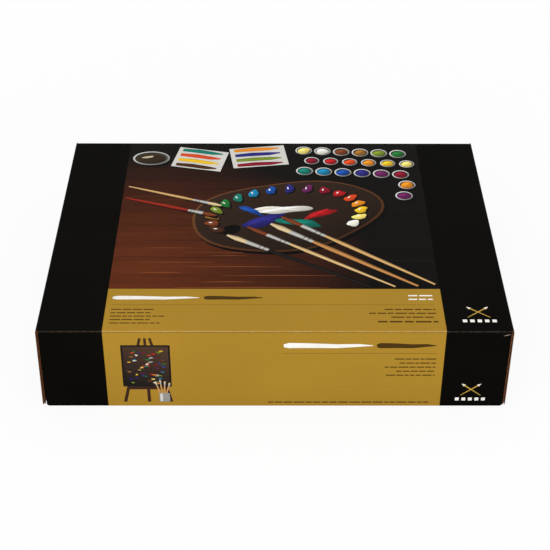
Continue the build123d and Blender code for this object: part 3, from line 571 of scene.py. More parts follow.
def add_board(
    mesh, corner, along_u, along_v, size_u, size_v, flutes, blank=unprinted, radii=(0, 0, 0, 0),
    thickness=BOARD,
):
    """A corrugated board: outer liner, waved layer and inner liner. u crossed with v points outwards."""
    printed = blank is not unprinted
    look = bpy.context.scene.paint_carton
    corner, along_u, along_v = Vector(corner), Vector(along_u), Vector(along_v)
    out = along_u.cross(along_v).normalized()

    def place(u, v, depth):
        return corner + along_u * u + along_v * v - out * depth

    outline = rounded_outline(0, size_u, 0, size_v, radii)
    face_depth = PRINT_DEPTH if printed else 0.0
    add_slab(
        mesh, place, outline, face_depth, face_depth + LINER, (0 if printed else 1, 1, 3 if printed else 1),
        blank,
    )
    add_slab(mesh, place, outline, thickness - LINER, thickness, (1, 1, 3 if printed else 1), blank)
    # the waved layer fills the space between the liners
    low, high = face_depth + LINER + 0.02 * MM, thickness - LINER - 0.02 * MM
    middle, swing = (low + high) / 2, (high - low - FLUTE_PAPER) / 2
    length, run = (size_v, size_u) if flutes == "u" else (size_u, size_v)
    margin = 0.4 * MM
    radius = max(radii)
    steps = max(8, int(length / look.flute_pitch * 10))
    lines = []
    for k in range(steps + 1):
        w = margin + (length - 2 * margin) * k / steps
        short = margin + (radius - w if w < radius else 0)
        depth = middle + swing * math.sin(2 * math.pi * w / look.flute_pitch)
        ends = []
        for r in (short, run - short):
            u, v = (r, w) if flutes == "u" else (w, r)
            ends.append((place(u, v, depth - FLUTE_PAPER / 2), place(u, v, depth + FLUTE_PAPER / 2)))
        lines.append(ends)
    flip = flutes == "u"
    for (a0, a1), (b0, b1) in zip(lines, lines[1:]):
        quads = (
            (a0[0], a1[0], b1[0], b0[0]),
            (a0[1], b0[1], b1[1], a1[1]),
            (a0[0], b0[0], b0[1], a0[1]),
            (a1[0], a1[1], b1[1], b1[0]),
        )
        for quad in quads:
            mesh.face(quad if flip else quad[::-1], 2, smooth=True)
    for first, second in (lines[0], lines[-1][::-1]):
        quad = (first[0], first[1], second[1], second[0])
        mesh.face(quad if flip else quad[::-1], 2)


def board_piece(name, body, node, **board):
    """One board as its own piece, in the place of its node."""
    mesh = Mesh()
    add_board(mesh, **board)
    return keep(mesh.object(name, BOARD_FINISHES), body, "carton_board", node)


# how far a fold's rounding reaches from the carton's edge
FOLD = 2.1 * MM


def build_boards():
    """Every panel of the carton, each in the place of its node."""
    w, d, h, t = HALF_WIDTH, HALF_DEPTH, HEIGHT, BOARD
    board_piece(
        "top_board", "carton_lid", "carton_top_panel",
        corner=(-w + FOLD, -d + FOLD, h), along_u=(1, 0, 0), along_v=(0, 1, 0),
        size_u=2 * (w - FOLD), size_v=2 * (d - FOLD), flutes="u",
        blank=lambda u, v: (-w + FOLD + u, -d + FOLD + v),
    )
    low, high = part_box("carton_front_flap")
    board_piece(
        "front_flap_board", "front_flap", "carton_front_flap",
        corner=(low.x, -d, 0), along_u=(1, 0, 0), along_v=(0, 0, 1),
        size_u=high.x - low.x, size_v=h - t + 0.1 * MM, flutes="u",
        blank=lambda u, v: (low.x + u, -d - (h - v)), radii=(3 * MM, 3 * MM, 0, 0),
    )
    board_piece(
        "back_board", "tray", "carton_back_panel",
        corner=(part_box("carton_back_panel")[1].x, d, t), along_u=(-1, 0, 0), along_v=(0, 0, 1),
        size_u=2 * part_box("carton_back_panel")[1].x, size_v=h - 2 * t, flutes="u",
        blank=lambda u, v: (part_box("carton_back_panel")[1].x - u, d + (h - t - v)),
    )
    for side, name in ((-1, "left"), (1, "right")):
        angle = math.radians(FLAP_SPRING[name])
        down = Vector((side * math.sin(angle), 0, -math.cos(angle)))
        length = h - t - FLAP_FOOT_GAP
        start = Vector((side * w, side * -d, h - t)) + down * length
        board_piece(
            f"{name}_flap_board", f"{name}_flap", f"carton_{name}_flap",
            corner=start, along_u=(0, side, 0), along_v=-down,
            size_u=2 * d, size_v=length, flutes="v",
            blank=lambda u, v, side=side, length=length: (side * (w + (length - v) + t), side * (-d + u)),
            radii=(1.5 * MM, 1.5 * MM, 0, 0),
        )
    low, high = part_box("carton_bottom_panel")
    board_piece(
        "bottom_board", "tray", "carton_bottom_panel",
        corner=(low.x, high.y, 0), along_u=(1, 0, 0), along_v=(0, -1, 0),
        size_u=high.x - low.x, size_v=high.y - low.y, flutes="u",
    )
    low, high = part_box("carton_tray_front_wall")
    board_piece(
        "tray_front_board", "tray", "carton_tray_front_wall",
        corner=(low.x, low.y, low.z), along_u=(1, 0, 0), along_v=(0, 0, 1),
        size_u=high.x - low.x, size_v=high.z - low.z, flutes="v",
    )
    for side, name in ((-1, "left"), (1, "right")):
        low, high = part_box(f"carton_tray_{name}_wall")
        edge = (high if side > 0 else low).x
        board_piece(
            f"tray_{name}_board", "tray", f"carton_tray_{name}_wall",
            corner=(edge, low.y if side > 0 else high.y, low.z), along_u=(0, side, 0), along_v=(0, 0, 1),
            size_u=high.y - low.y, size_v=high.z - low.z, flutes="v",
        )
    tabs = Mesh()
    low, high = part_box("carton_corner_tabs")
    for x in (low.x, high.x - CORNER_TAB_WIDTH):
        for y in (low.y, high.y - t):
            add_board(
                tabs, corner=(x, y, low.z), along_u=(1, 0, 0), along_v=(0, 0, 1),
                size_u=CORNER_TAB_WIDTH, size_v=high.z - low.z,
                flutes="v",
            )
    keep(tabs.object("corner_tab_boards", BOARD_FINISHES), "tray", "carton_board", "carton_corner_tabs")


def fold_strip(name, section, run, blank):
    """The outer paper where it goes round a fold."""
    mesh = Mesh()
    count = len(section)
    outer = [[Vector(p) for p in (section[k][0] + run[0], section[k][0] + run[1])] for k in range(count)]
    inner = [[Vector(p) for p in (section[k][1] + run[0], section[k][1] + run[1])] for k in range(count)]
    cells = max(1, int((run[1] - run[0]).length / (12 * MM)))
    for k in range(count - 1):
        for c in range(cells):
            a, b = c / cells, (c + 1) / cells
            corners = ((k, a), (k, b), (k + 1, b), (k + 1, a))
            o = [outer[row][0].lerp(outer[row][1], t) for row, t in corners]
            i = [inner[row][0].lerp(inner[row][1], t) for row, t in corners]
            mesh.face(o, 0, [blank(p) for p in o], smooth=True)
            mesh.face(i[::-1], 1, smooth=True)
            if c == 0:
                mesh.face((o[0], o[3], i[3], i[0]), 1)
            if c == cells - 1:
                mesh.face((o[1], i[1], i[2], o[2]), 1)
            if k == 0:
                mesh.face((o[0], i[0], i[1], o[1]), 1)
            if k == count - 2:
                mesh.face((o[3], o[2], i[2], i[3]), 1)
    made = mesh.object(name, ("printed_board", "kraft"), normals=True)
    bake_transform(made)
    return made


def quarter(centre, across, up, radius):
    """Pairs of outer and inner points round a quarter fold, from up to across."""
    pairs = []
    for k in range(9):
        angle = math.pi / 2 * k / 8
        way = Vector(up) * math.cos(angle) + Vector(across) * math.sin(angle)
        pairs.append((Vector(centre) + way * radius, Vector(centre) + way * (radius - LINER)))
    return pairs


def build_folds():
    """The rounded folds between the top and the four sides."""
    w, d, h = HALF_WIDTH, HALF_DEPTH, HEIGHT
    r = FOLD - PRINT_DEPTH
    front_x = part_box("carton_front_flap")[1].x
    arc = FOLD * math.pi / 2

    def on_blank_front(p):
        turn = math.atan2(-(p.y + d - FOLD), p.z - (h - FOLD))
        return (p.x, -d + FOLD - turn / (math.pi / 2) * arc)

    def on_blank_back(p):
        turn = math.atan2(p.y - (d - FOLD), p.z - (h - FOLD))
        return (p.x, d - FOLD + turn / (math.pi / 2) * arc)

    fold_strip(
        "front_fold",
        quarter((0, -d + FOLD, h - FOLD), (0, -1, 0), (0, 0, 1), r),
        (Vector((-front_x, 0, 0)), Vector((front_x, 0, 0))), on_blank_front,
    )
    fold_strip(
        "back_fold",
        quarter((0, d - FOLD, h - FOLD), (0, 1, 0), (0, 0, 1), r),
        (Vector((-front_x, 0, 0)), Vector((front_x, 0, 0))), on_blank_back,
    )
    for side, name in ((-1, "left"), (1, "right")):

        def on_blank_end(p, side=side):
            turn = math.atan2(side * p.x - (w - FOLD), p.z - (h - FOLD))
            return (side * (w - FOLD + turn / (math.pi / 2) * arc), p.y)

        fold_strip(
            f"{name}_fold",
            quarter((side * (w - FOLD), 0, h - FOLD), (side, 0, 0), (0, 0, 1), r),
            (Vector((0, -d + PRINT_DEPTH, 0)), Vector((0, d - PRINT_DEPTH, 0))), on_blank_end,
        )


# Print


class Print:
    """Flat inked shapes on one face of the carton; a shape lies just above those that it covers."""

    STEP = 0.004 * MM
    CELL = 2.5

    def __init__(self, place):
        self.mesh = Mesh()
        self.place = place
        self.pending, self.laid = [], {}

    def up(self):
        """Lays the shape drawn since the last call on the lowest layer that is free for it."""
        if not self.pending:
            return
        cells = set()
        for points, _ in self.pending:
            xs, ys = [int(x // self.CELL) for x, _ in points], [int(y // self.CELL) for _, y in points]
            cells.update((i, j) for i in range(min(xs), max(xs) + 1) for j in range(min(ys), max(ys) + 1))
        layer = max(self.laid.get(cell, 0) for cell in cells) + 1
        self.laid.update((cell, layer) for cell in cells)
        for points, inks in self.pending:
            self.mesh.face([self.place(x * MM, y * MM, layer * self.STEP) for x, y in points], 0, inks=inks)
        self.pending = []

    def face(self, points, inks):
        area = sum(a[0] * b[1] - b[0] * a[1] for a, b in zip(points, points[1:] + points[:1]))
        if area < 0:
            points = points[::-1]
            if isinstance(inks, list):
                inks = inks[::-1]
        self.pending.append((points, inks))

    def box(self, x0, y0, x1, y1, colour):
        self.face([(x0, y0), (x1, y0), (x1, y1), (x0, y1)], colour)
        self.up()

    def wash(self, x0, y0, x1, y1, columns, rows, colour_at):
        """A grid whose corner inks come from a function of the place in it."""
        def p(i, j):
            return (x0 + (x1 - x0) * i / columns, y0 + (y1 - y0) * j / rows)

        def c(i, j):
            return colour_at(i / columns, j / rows)

        for i in range(columns):
            for j in range(rows):
                around = ((i, j), (i + 1, j), (i + 1, j + 1), (i, j + 1))
                self.face([p(*k) for k in around], [c(*k) for k in around])
        self.up()

    def ribbon(self, path, widths, columns, last=True):
        """A band along a path; columns are (place across from -1 to 1, ink)."""
        rows = []
        for k, (x, y) in enumerate(path):
            ax, ay = path[max(0, k - 1)]
            bx, by = path[min(len(path) - 1, k + 1)]
            length = math.hypot(bx - ax, by - ay) or 1
            nx, ny = -(by - ay) / length, (bx - ax) / length
            half = widths[k] / 2
            rows.append([((x + nx * half * t, y + ny * half * t), colour) for t, colour in columns])
        for a, b in zip(rows, rows[1:]):
            for m in range(len(columns) - 1):
                quad = [a[m], a[m + 1], b[m + 1], b[m]]
                self.face([q[0] for q in quad], [q[1] for q in quad])
        if last:
            self.up()

    def blob(self, cx, cy, rx, ry, turn, colour, relief=0.5, wobble=0.0, seed=1, sides=28, shine=None):
        """A rounded patch shaded as if lit from the upper left."""
        chance = random.Random(seed)
        waves = [(chance.uniform(0, 6.28), k) for k in (2, 3, 5)]
        ca, sa = math.cos(math.radians(turn)), math.sin(math.radians(turn))

        def spot(radius, angle):
            grow = 1 + wobble * sum(math.sin(k * angle + phase) / k for phase, k in waves)
            x, y = rx * radius * grow * math.cos(angle), ry * radius * grow * math.sin(angle)
            place = (cx + x * ca - y * sa, cy + x * sa + y * ca)
            slope = radius ** 2
            light = -math.cos(angle + math.radians(turn)) * 0.6 + math.sin(angle + math.radians(turn)) * 0.8
            return place, lighter(colour, 1 + relief * slope * light)

        rings = (0.0, 0.35, 0.65, 0.85, 1.0)
        for r0, r1 in zip(rings, rings[1:]):
            for k in range(sides):
                a0, a1 = 2 * math.pi * k / sides, 2 * math.pi * (k + 1) / sides
                quad = [spot(r0, a0), spot(r1, a0), spot(r1, a1), spot(r0, a1)]
                if r0 == 0:
                    quad = quad[:1] + quad[1:3]
                self.face([q[0] for q in quad], [q[1] for q in quad])
        self.up()
        if shine:
            self.blob(
                cx - rx * 0.25, cy + ry * 0.3, rx * 0.28, ry * 0.16, turn + 20, shine, 0.0, 0.2, seed, 12,
            )

    def word_bars(self, x0, x1, y, height, colour, seed):
        """Plain short bars that fill a line's place without any lettering."""
        chance = random.Random(seed)
        x = x0
        while x < x1 - height:
            length = min(chance.uniform(2.5, 7.5) * height, x1 - x)
            self.face([(x, y), (x + length, y), (x + length, y + height), (x, y + height)], colour)
            x += length + 0.9 * height
        self.up()

    def paint_stroke(self, x0, x1, y, height, colour):
        """One long plain stroke of a flat brush, that thins to its end."""
        middle, run = y + height / 2, x1 - x0
        spots = [
            (x0 + run * t, middle + height * 0.07 * math.sin(9 * t))
            for t in (0, 0.06, 0.3, 0.6, 0.85, 1)
        ]
        widths = [height * share for share in (0.45, 0.8, 0.72, 0.6, 0.42, 0.1)]
        self.ribbon(spots, widths, [(-1, lighter(colour, 0.9)), (0, colour), (1, lighter(colour, 0.95))])

    def object(self, name, body):
        if max(self.laid.values()) * self.STEP > PRINT_DEPTH:
            raise RuntimeError(f"{name} has too many layers of ink")
        made = self.mesh.object(name, ("printed_picture",), merge=False)
        return keep(made, body, "carton_board")


CREAM = ink(240, 228, 200)
WHITE = ink(246, 243, 236)
DARK_TEXT = ink(74, 52, 18)
GOLD_RULE = ink(112, 84, 26)


def crossed_brushes(sheet, cx, cy, size):
    """A small ornament: two gold brushes crossed over a row of pale squares."""
    gold = ink(196, 158, 74)
    for side in (-1, 1):
        foot, head = (
            cx - side * size * 0.26, cy - size * 0.06,
        ), (cx + side * size * 0.17, cy + size * 0.27)
        tip = (cx + side * size * 0.25, cy + size * 0.33)
        sheet.ribbon([foot, head], [size * 0.018, size * 0.04], [(-1, lighter(gold, 0.8)), (1, gold)])
        sheet.ribbon([head, tip], [size * 0.075, size * 0.012], [(-1, CREAM), (1, WHITE)])
    for k in range(5):
        x = cx + size * (0.17 * (k - 2) - 0.05)
        sheet.box(x, cy - size * 0.24, x + size * 0.1, cy - size * 0.14, WHITE)


def draw_brush(sheet, x0, y0, x1, y1, width, handle, bristle):
    """A printed brush: handle, ferrule and head, each shaded across."""
    dx, dy = x1 - x0, y1 - y0

    def at(t):
        return (x0 + dx * t, y0 + dy * t)

    across = [
        (-1, lighter(handle, 0.35)), (-0.4, lighter(handle, 0.8)), (0.3, lighter(handle, 1.35)),
        (1, lighter(handle, 0.55)),
    ]
    sheet.ribbon(
        [at(0), at(0.3), at(0.58), at(0.7)], [width * 0.45, width * 0.8, width, width * 0.7], across, False,
    )
    silver = ink(196, 194, 188)
    metal = [
        (-1, lighter(silver, 0.3)), (-0.35, lighter(silver, 0.7)), (0.2, lighter(silver, 1.3)),
        (0.55, lighter(silver, 0.5)), (1, lighter(silver, 0.9)),
    ]
    ring = [(-1, ink(60, 58, 54)), (1, ink(120, 118, 112))]
    for a, b, look in (
        (0.7, 0.73, metal), (0.73, 0.736, ring), (0.736, 0.76, metal), (0.76, 0.766, ring),
        (0.766, 0.86, metal),
    ):
        wide = [width * (0.74 + 1.9 * (t - 0.7)) for t in (a, b)]
        sheet.ribbon([at(a), at(b)], wide, look, False)
    hair = [
        (-1, lighter(bristle, 0.45)), (-0.2, lighter(bristle, 1.0)), (0.3, lighter(bristle, 1.3)),
        (1, lighter(bristle, 0.6)),
    ]
    sheet.ribbon([at(0.86), at(0.93), at(1.0)], [width * 1.0, width * 1.25, width * 0.5], hair)


PAINTS = (
    (244, 240, 226), (250, 226, 120), (238, 190, 40), (228, 138, 34), (214, 74, 34), (178, 30, 34),
    (132, 22, 44),
    (104, 34, 88), (44, 42, 120), (28, 76, 158), (30, 128, 170), (24, 120, 104), (36, 112, 52),
    (120, 140, 44),
    (150, 104, 44), (120, 62, 32), (72, 42, 26), (34, 30, 30), (180, 184, 188),
)


def draw_table(sheet, x0, y0, x1, y1):
    """A dark wooden table top with planks, warm at the near left and black at the far side."""
    warm, deep = ink(102, 48, 24), ink(14, 12, 10)

    def tone(u, v):
        glow = max(0.0, 1.05 - math.hypot((u - 0.08) * 1.15, (v - 0.12) * 1.05) * 1.25)
        streak = 0.86 + 0.14 * math.sin(u * 7 + v * 41) * math.sin(v * 97 + u * 3)
        return lighter(blend_ink(deep, warm, glow), streak)

    sheet.wash(x0, y0, x1, y1, 60, 50, tone)
    chance = random.Random(11)
    for k in range(46):
        y = y0 + (y1 - y0) * (k + chance.random()) / 46 * 0.72
        start, length = chance.uniform(0.0, 0.35), chance.uniform(0.12, 0.5)
        xs = x0 + (x1 - x0) * start
        xe = min(x1 - 2, xs + (x1 - x0) * length)
        dim = max(0.12, 1.0 - 1.1 * (y - y0) / (y1 - y0) - 0.5 * start)
        colour = lighter(ink(74, 34, 16) if k % 2 else ink(168, 96, 52), dim)
        sheet.ribbon(
            [(xs, y), ((xs + xe) / 2, y + chance.uniform(0, 1.5)), (xe, y)], [0.2, 0.8, 0.2],
            [(-1, colour), (1, colour)],
        )
    sheet.ribbon([(x0, y0 + 58), (x1, y0 + 49)], [0.8, 0.5], [(-1, ink(12, 8, 6)), (1, ink(70, 36, 20))])


def draw_palette(sheet, cx, cy):
    """A big dark palette with paints round its edge, mixed patches and a thumb hole."""
    sheet.blob(cx + 3, cy - 4, 106, 72, 14, ink(6, 5, 5), 0.0, 0.10, 4, 48)
    sheet.blob(cx, cy, 105, 71, 14, ink(92, 56, 32), 0.5, 0.10, 4, 48)
    sheet.blob(cx, cy + 0.8, 102, 68.5, 14, ink(44, 30, 22), 0.42, 0.10, 4, 48)
    sheet.blob(cx - 62, cy - 30, 12, 8.5, 30, ink(8, 6, 5), -0.6, 0.05, 2)
    for k, paint in enumerate(PAINTS[:17]):
        angle = math.radians(-32 + k * 14.5)
        x, y = cx + 84 * math.cos(
            angle
        ) - 5 * math.sin(angle), cy + 52 * math.sin(angle) + 14 * math.cos(angle) * 0.9
        sheet.blob(x + 1.4, y - 1.6, 8.4, 6.2, 10 * k, ink(9, 7, 6), 0.0, 0.25, k, 20)
        sheet.blob(x, y, 7.6, 5.6, 10 * k, ink(*paint), 0.55, 0.3, k, 24, shine=ink(250, 250, 246))
    mixes = (
        (-26, -12, 26, 9, 24, 8), (14, -16, 22, 8, -14, 11), (-6, 10, 30, 8, 6, 0), (38, 2, 18, 6, 30, 5),
        (-40, 8, 14, 5, -32, 9),
    )
    for x, y, rx, ry, turn, paint in mixes:
        tone = ink(*PAINTS[paint])
        sheet.blob(cx + x, cy + y, rx, ry, turn, lighter(tone, 0.75), 0.5, 0.35, paint + 7, 30)
        sheet.blob(
            cx + x - 2, cy + y + 1, rx * 0.6, ry * 0.42, turn + 8, lighter(tone, 1.25), 0.4, 0.4, paint + 3,
            24,
        )
        sheet.ribbon(
            [(cx + x - rx * 0.7, cy + y - 1), (cx + x, cy + y + 2), (cx + x + rx * 0.7, cy + y)],
            [0.4, 1.6, 0.5],
            [(-1, lighter(tone, 1.6)), (1, lighter(tone, 0.9))],
        )


def draw_swatch_card(sheet, cx, cy, turn, wide, tall, paints):
    """A white card with painted strokes on it."""
    ca, sa = math.cos(math.radians(turn)), math.sin(math.radians(turn))

    def p(x, y):
        return (cx + x * ca - y * sa, cy + x * sa + y * ca)

    a, b = wide / 2, tall / 2
    for shift, colour in ((-1.8, ink(5, 4, 4)), (0, ink(214, 212, 204))):
        sheet.face([p(-a, -b + shift), p(a, -b + shift), p(a, b + shift), p(-a, b + shift)], colour)
        sheet.up()
    rows = len(paints)
    for k, paint in enumerate(paints):
        tone = ink(*PAINTS[paint])
        y = tall / 2 - tall * (k + 0.5) / rows
        sheet.ribbon(
            [p(-wide * 0.42, y), p(-wide * 0.1, y + 0.6), p(wide * 0.2, y - 0.4), p(wide * 0.4, y)],
            [tall / rows * 0.55, tall / rows * 0.72, tall / rows * 0.62, tall / rows * 0.2],
            [
                (-1, lighter(tone, 0.8)), (0, lighter(tone, 1.2)), (0.4, lighter(tone, 0.95)),
                (1, lighter(tone, 0.8)),
            ],
        )


def draw_pigment(sheet, cx, cy, radius, paint):
    """An open tin of pigment seen from above, with a bright rim."""
    tone = ink(*paint)
    sheet.blob(cx + 2, cy - 2.6, radius * 1.06, radius * 0.96, 0, ink(4, 4, 4), 0.0)
    sheet.blob(cx, cy, radius, radius * 0.9, 0, ink(190, 190, 186), 0.75)
    sheet.blob(cx, cy + 0.2, radius * 0.84, radius * 0.74, 0, ink(34, 32, 32), -0.4)
    sheet.blob(
        cx, cy - 0.6, radius * 0.76, radius * 0.64, 20, lighter(tone, 0.9), 0.6, 0.12,
        int(cx * 3 + cy) % 50, 22,
    )
    sheet.blob(
        cx - radius * 0.15, cy + radius * 0.1, radius * 0.4, radius * 0.2, 20, lighter(tone, 1.5), 0.3, 0.3,
        int(cx + cy) % 40, 16,
    )


def draw_jar(sheet, cx, cy, size):
    """A metal cup of turpentine seen from above."""
    sheet.blob(cx + 2, cy - 3, size * 1.04, size * 0.74, 0, ink(4, 4, 4), 0.0)
    sheet.blob(cx, cy, size, size * 0.7, 0, ink(176, 176, 172), 0.6)
    sheet.blob(cx, cy, size * 0.9, size * 0.62, 0, ink(70, 70, 68), -0.8)
    sheet.blob(cx, cy - size * 0.04, size * 0.8, size * 0.52, 0, ink(52, 40, 26), 0.5)
    sheet.blob(cx - size * 0.2, cy + size * 0.12, size * 0.3, size * 0.1, 12, ink(200, 190, 160), 0.0, 0.2)


def build_top_print():
    """The picture and the ornaments of the gold band on the top."""
    face_z = HEIGHT - PRINT_DEPTH
    sheet = Print(lambda x, y, lift: Vector((x, y, face_z + lift)))
    draw_table(sheet, GOLD_LEFT, GOLD_TOP, GOLD_RIGHT, 179.9)
    draw_swatch_card(sheet, -18, 150, 8, 66, 44, (3, 8, 13, 6))
    draw_swatch_card(sheet, -88, 144, -12, 60, 44, (11, 4, 2, 16))
    for k in range(18):
        row, place = k % 3, k // 3
        x, y = 36 + place * 22.5 + (row % 2) * 9, 164 - row * 23 - place * 1.5
        draw_pigment(sheet, x, y, 10.0 - row % 2, PAINTS[(k * 5 + 1) % 16])
    for k in range(2):
        draw_pigment(sheet, 154 - k * 5, 88 - k * 23, 10.0, PAINTS[(k * 4 + 3) % 16])
    draw_palette(sheet, 14, 26)
    draw_jar(sheet, -146, 146, 22)
    wood = (ink(206, 164, 106), ink(188, 132, 76), ink(214, 178, 124), ink(30, 26, 24), ink(150, 44, 30))
    lines = (
        (168, -104, 8, 22, 6.0, 0), (150, -107, -4, 8, 7.0, 1), (126, -108, -30, 2, 5.5, 2),
        (100, -108, -52, -14, 6.5, 3),
        (-170, 60, -66, 24, 6.0, 4), (-168, 84, -60, 44, 5.0, 0),
    )
    for k, (ax, ay, bx, by, width, tone) in enumerate(lines):
        sheet.ribbon(
            [(ax + 2, ay - 1 if ay > -106 else ay), (bx + 3, by - 4)], [width * 0.7, width * 0.9],
            [(-1, ink(7, 5, 4)), (1, ink(12, 9, 7))],
        )
        draw_brush(
            sheet, ax, ay, bx, by, width, wood[tone], ink(214, 190, 146) if k % 2 else ink(120, 60, 34),
        )
    # gold band
    sheet.box(-167, -139.3, 163, -138.8, GOLD_RULE)
    sheet.paint_stroke(-167, -78, -131.5, 8.0, WHITE)
    sheet.paint_stroke(-73, -12, -131.5, 8.0, DARK_TEXT)
    for k, end in enumerate((-122, -126, -112, -125, -116)):
        sheet.word_bars(-167, end, -147.5 - 5.6 * k, 1.5, DARK_TEXT, 20 + k)
    for k in range(2):
        sheet.word_bars(138, 163, -124.5 - 6.2 * k, 2.0, WHITE, 40 + k)
    for k, start in enumerate((112, 96, 118)):
        sheet.word_bars(start, 164, -147.5 - 6.4 * k, 1.8, DARK_TEXT, 50 + k)
    sheet.word_bars(104, 165, -168, 2.4, DARK_TEXT, 60)
    crossed_brushes(sheet, 207, -157, 44)
    sheet.object("top_print", "carton_lid")


def draw_easel(sheet, cx, foot, height):
    """A dark studio easel with a stretched canvas of coloured marks and a jar of brushes."""
    dark, brown = ink(30, 25, 24), ink(62, 38, 30)
    wood = [(-1, lighter(brown, 0.5)), (0.2, lighter(brown, 1.3)), (1, lighter(brown, 0.7))]
    for x0, x1 in ((-24, -5), (24, 5), (1, 0)):
        sheet.ribbon([(cx + x0, foot), (cx + x1, foot + height)], [3.4, 2.6], wood)
    sheet.box(cx - 20, foot + 17, cx + 20, foot + 21, brown)
    low, high = foot + 21, foot + height - 9
    sheet.box(cx - 25, low, cx + 25, high, dark)
    sheet.wash(
        cx - 23, low + 2, cx + 23, high - 2, 10, 10, lambda u,
        v: blend_ink(ink(22, 24, 26), ink(86, 62, 48), v * 0.6 + u * 0.2),
    )
    chance = random.Random(21)
    for k in range(58):
        x, y = cx + chance.uniform(-20, 17), low + 5 + chance.uniform(0, high - low - 12)
        tone = ink(*PAINTS[(k * 7) % len(PAINTS)])
        run, rise = chance.uniform(2.5, 5.5), chance.uniform(-1.6, 1.6)
        sheet.ribbon(
            [(x, y), (x + run / 2, y + rise), (x + run, y + rise * 0.4)],
            [0.5, chance.uniform(1.2, 2.2), 0.4], [(-1, lighter(tone, 1.1)), (1, lighter(tone, 0.7))],
        )
    for k in range(4):
        draw_brush(
            sheet, cx + 14 + 1.5 * k, foot + 8, cx + 8 + 5 * k, foot + 30 - abs(k - 1) * 2, 1.8,
            ink(206, 150, 96), ink(214, 190, 146),
        )
    sheet.box(cx + 11.5, foot, cx + 22.5, foot + 12, ink(150, 148, 144))
    sheet.box(cx + 12.5, foot + 1, cx + 15, foot + 11, ink(214, 212, 206))


def build_front_print():
    """The small picture, the rule and the ornaments on the front flap."""
    face_y = -HALF_DEPTH + PRINT_DEPTH
    sheet = Print(lambda x, z, lift: Vector((x, face_y - lift, z)))
    draw_easel(sheet, -131, 5.5, 85)
    sheet.paint_stroke(9, 99, 76.5, 8.6, WHITE)
    sheet.paint_stroke(103, 163, 76.5, 8.6, DARK_TEXT)
    sheet.box(9, 70.8, 164, 71.3, GOLD_RULE)
    for k, start in enumerate((122, 127, 112, 124, 114)):
        sheet.word_bars(start, 164, 62.8 - 5.4 * k, 1.4, DARK_TEXT, 70 + k)
    sheet.word_bars(-7, 160, 4.2, 1.5, DARK_TEXT, 80)
    crossed_brushes(sheet, 203, 17, 40)
    # a pale diagonal mark below the right corner: worn paper with the painted highlight of a crease
    crease_scuff_and_highlight = [(-1, ink(60, 57, 54)), (0, ink(158, 150, 140)), (1, ink(50, 48, 46))]
    sheet.ribbon([(229.5, 93.6), (233, 94.6), (236.4, 95.6)], [0.3, 1.5, 0.5], crease_scuff_and_highlight)
    sheet.object("front_print", "front_flap")


# Chest and hardware


def build_chest():
    """Wood on the chest's boards, with the grain along each board."""
    for node in (
        "chest_front_wall", "chest_back_wall", "chest_floor", "chest_lid_panel", "chest_long_dividers",
    ):
        dress(node, "chest_wood_across")
    for node in ("chest_left_wall", "chest_right_wall", "chest_cross_dividers"):
        dress(node, "chest_wood_deep")
    dress("palette", "palette_wood")


def number_tree(name, labels):
    """A Geometry Nodes tree that takes a mesh and one number for each label; also its number sockets."""
    tree = bpy.data.node_groups.new(name, "GeometryNodeTree")
    tree.interface.new_socket("Geometry", in_out="INPUT", socket_type="NodeSocketGeometry")
    numbers = [
        tree.interface.new_socket(label, in_out="INPUT", socket_type="NodeSocketFloat") for label in labels
    ]
    tree.interface.new_socket("Geometry", in_out="OUTPUT", socket_type="NodeSocketGeometry")
    return tree, numbers


def grown(base, name, tree, numbers, values, instances, finish):
    """Makes a tree's instances real, gives them their finish and bakes them into one mesh."""
    nodes, links = tree.nodes, tree.links
    real, paint = nodes.new("GeometryNodeRealizeInstances"), nodes.new("GeometryNodeSetMaterial")
    paint.inputs["Material"].default_value = finish_named(finish)
    links.new(instances.outputs[0], real.inputs[0])
    links.new(real.outputs[0], paint.inputs[0])
    links.new(paint.outputs[0], nodes.new("NodeGroupOutput").inputs[0])
    modifier = base.modifiers.new(name, "NODES")
    modifier.node_group = tree
    for number, value in zip(numbers, values):
        modifier[number.identifier] = value
    return baked(base, name)


def grown_on_points(name, points, normal, head, finish):
    """Geometry Nodes set one copy of a head on each point, facing the normal."""
    look = bpy.context.scene.paint_chest
    base = bpy.data.objects.new(name, bpy.data.meshes.new(name))
    base.data.from_pydata([Vector(p) for p in points], [], [])
    bpy.context.scene.collection.objects.link(base)
    tree, numbers = number_tree(name + "_nodes", ("Head size",))
    nodes, links = tree.nodes, tree.links
    source = nodes.new("NodeGroupInput")
    info = nodes.new("GeometryNodeObjectInfo")
    info.inputs["Object"].default_value = head
    on = nodes.new("GeometryNodeInstanceOnPoints")
    turn = Vector((0, 0, 1)).rotation_difference(Vector(normal)).to_euler()
    on.inputs["Rotation"].default_value = turn
    links.new(source.outputs[0], on.inputs["Points"])
    links.new(info.outputs["Geometry"], on.inputs["Instance"])
    links.new(source.outputs[1], on.inputs["Scale"])
    return grown(base, name, tree, numbers, (look.screw_head / SCREW_HEAD,), on, finish)


def baked(base, name):
    """The evaluated object as a plain mesh; the working object goes."""
    bpy.context.view_layer.update()
    seen = base.evaluated_get(bpy.context.evaluated_depsgraph_get())
    data = bpy.data.meshes.new_from_object(seen)
    base.modifiers.clear()
    bpy.data.objects.remove(base)
    data.name = name
    made = bpy.data.objects.new(name, data)
    bpy.context.scene.collection.objects.link(made)
    return made


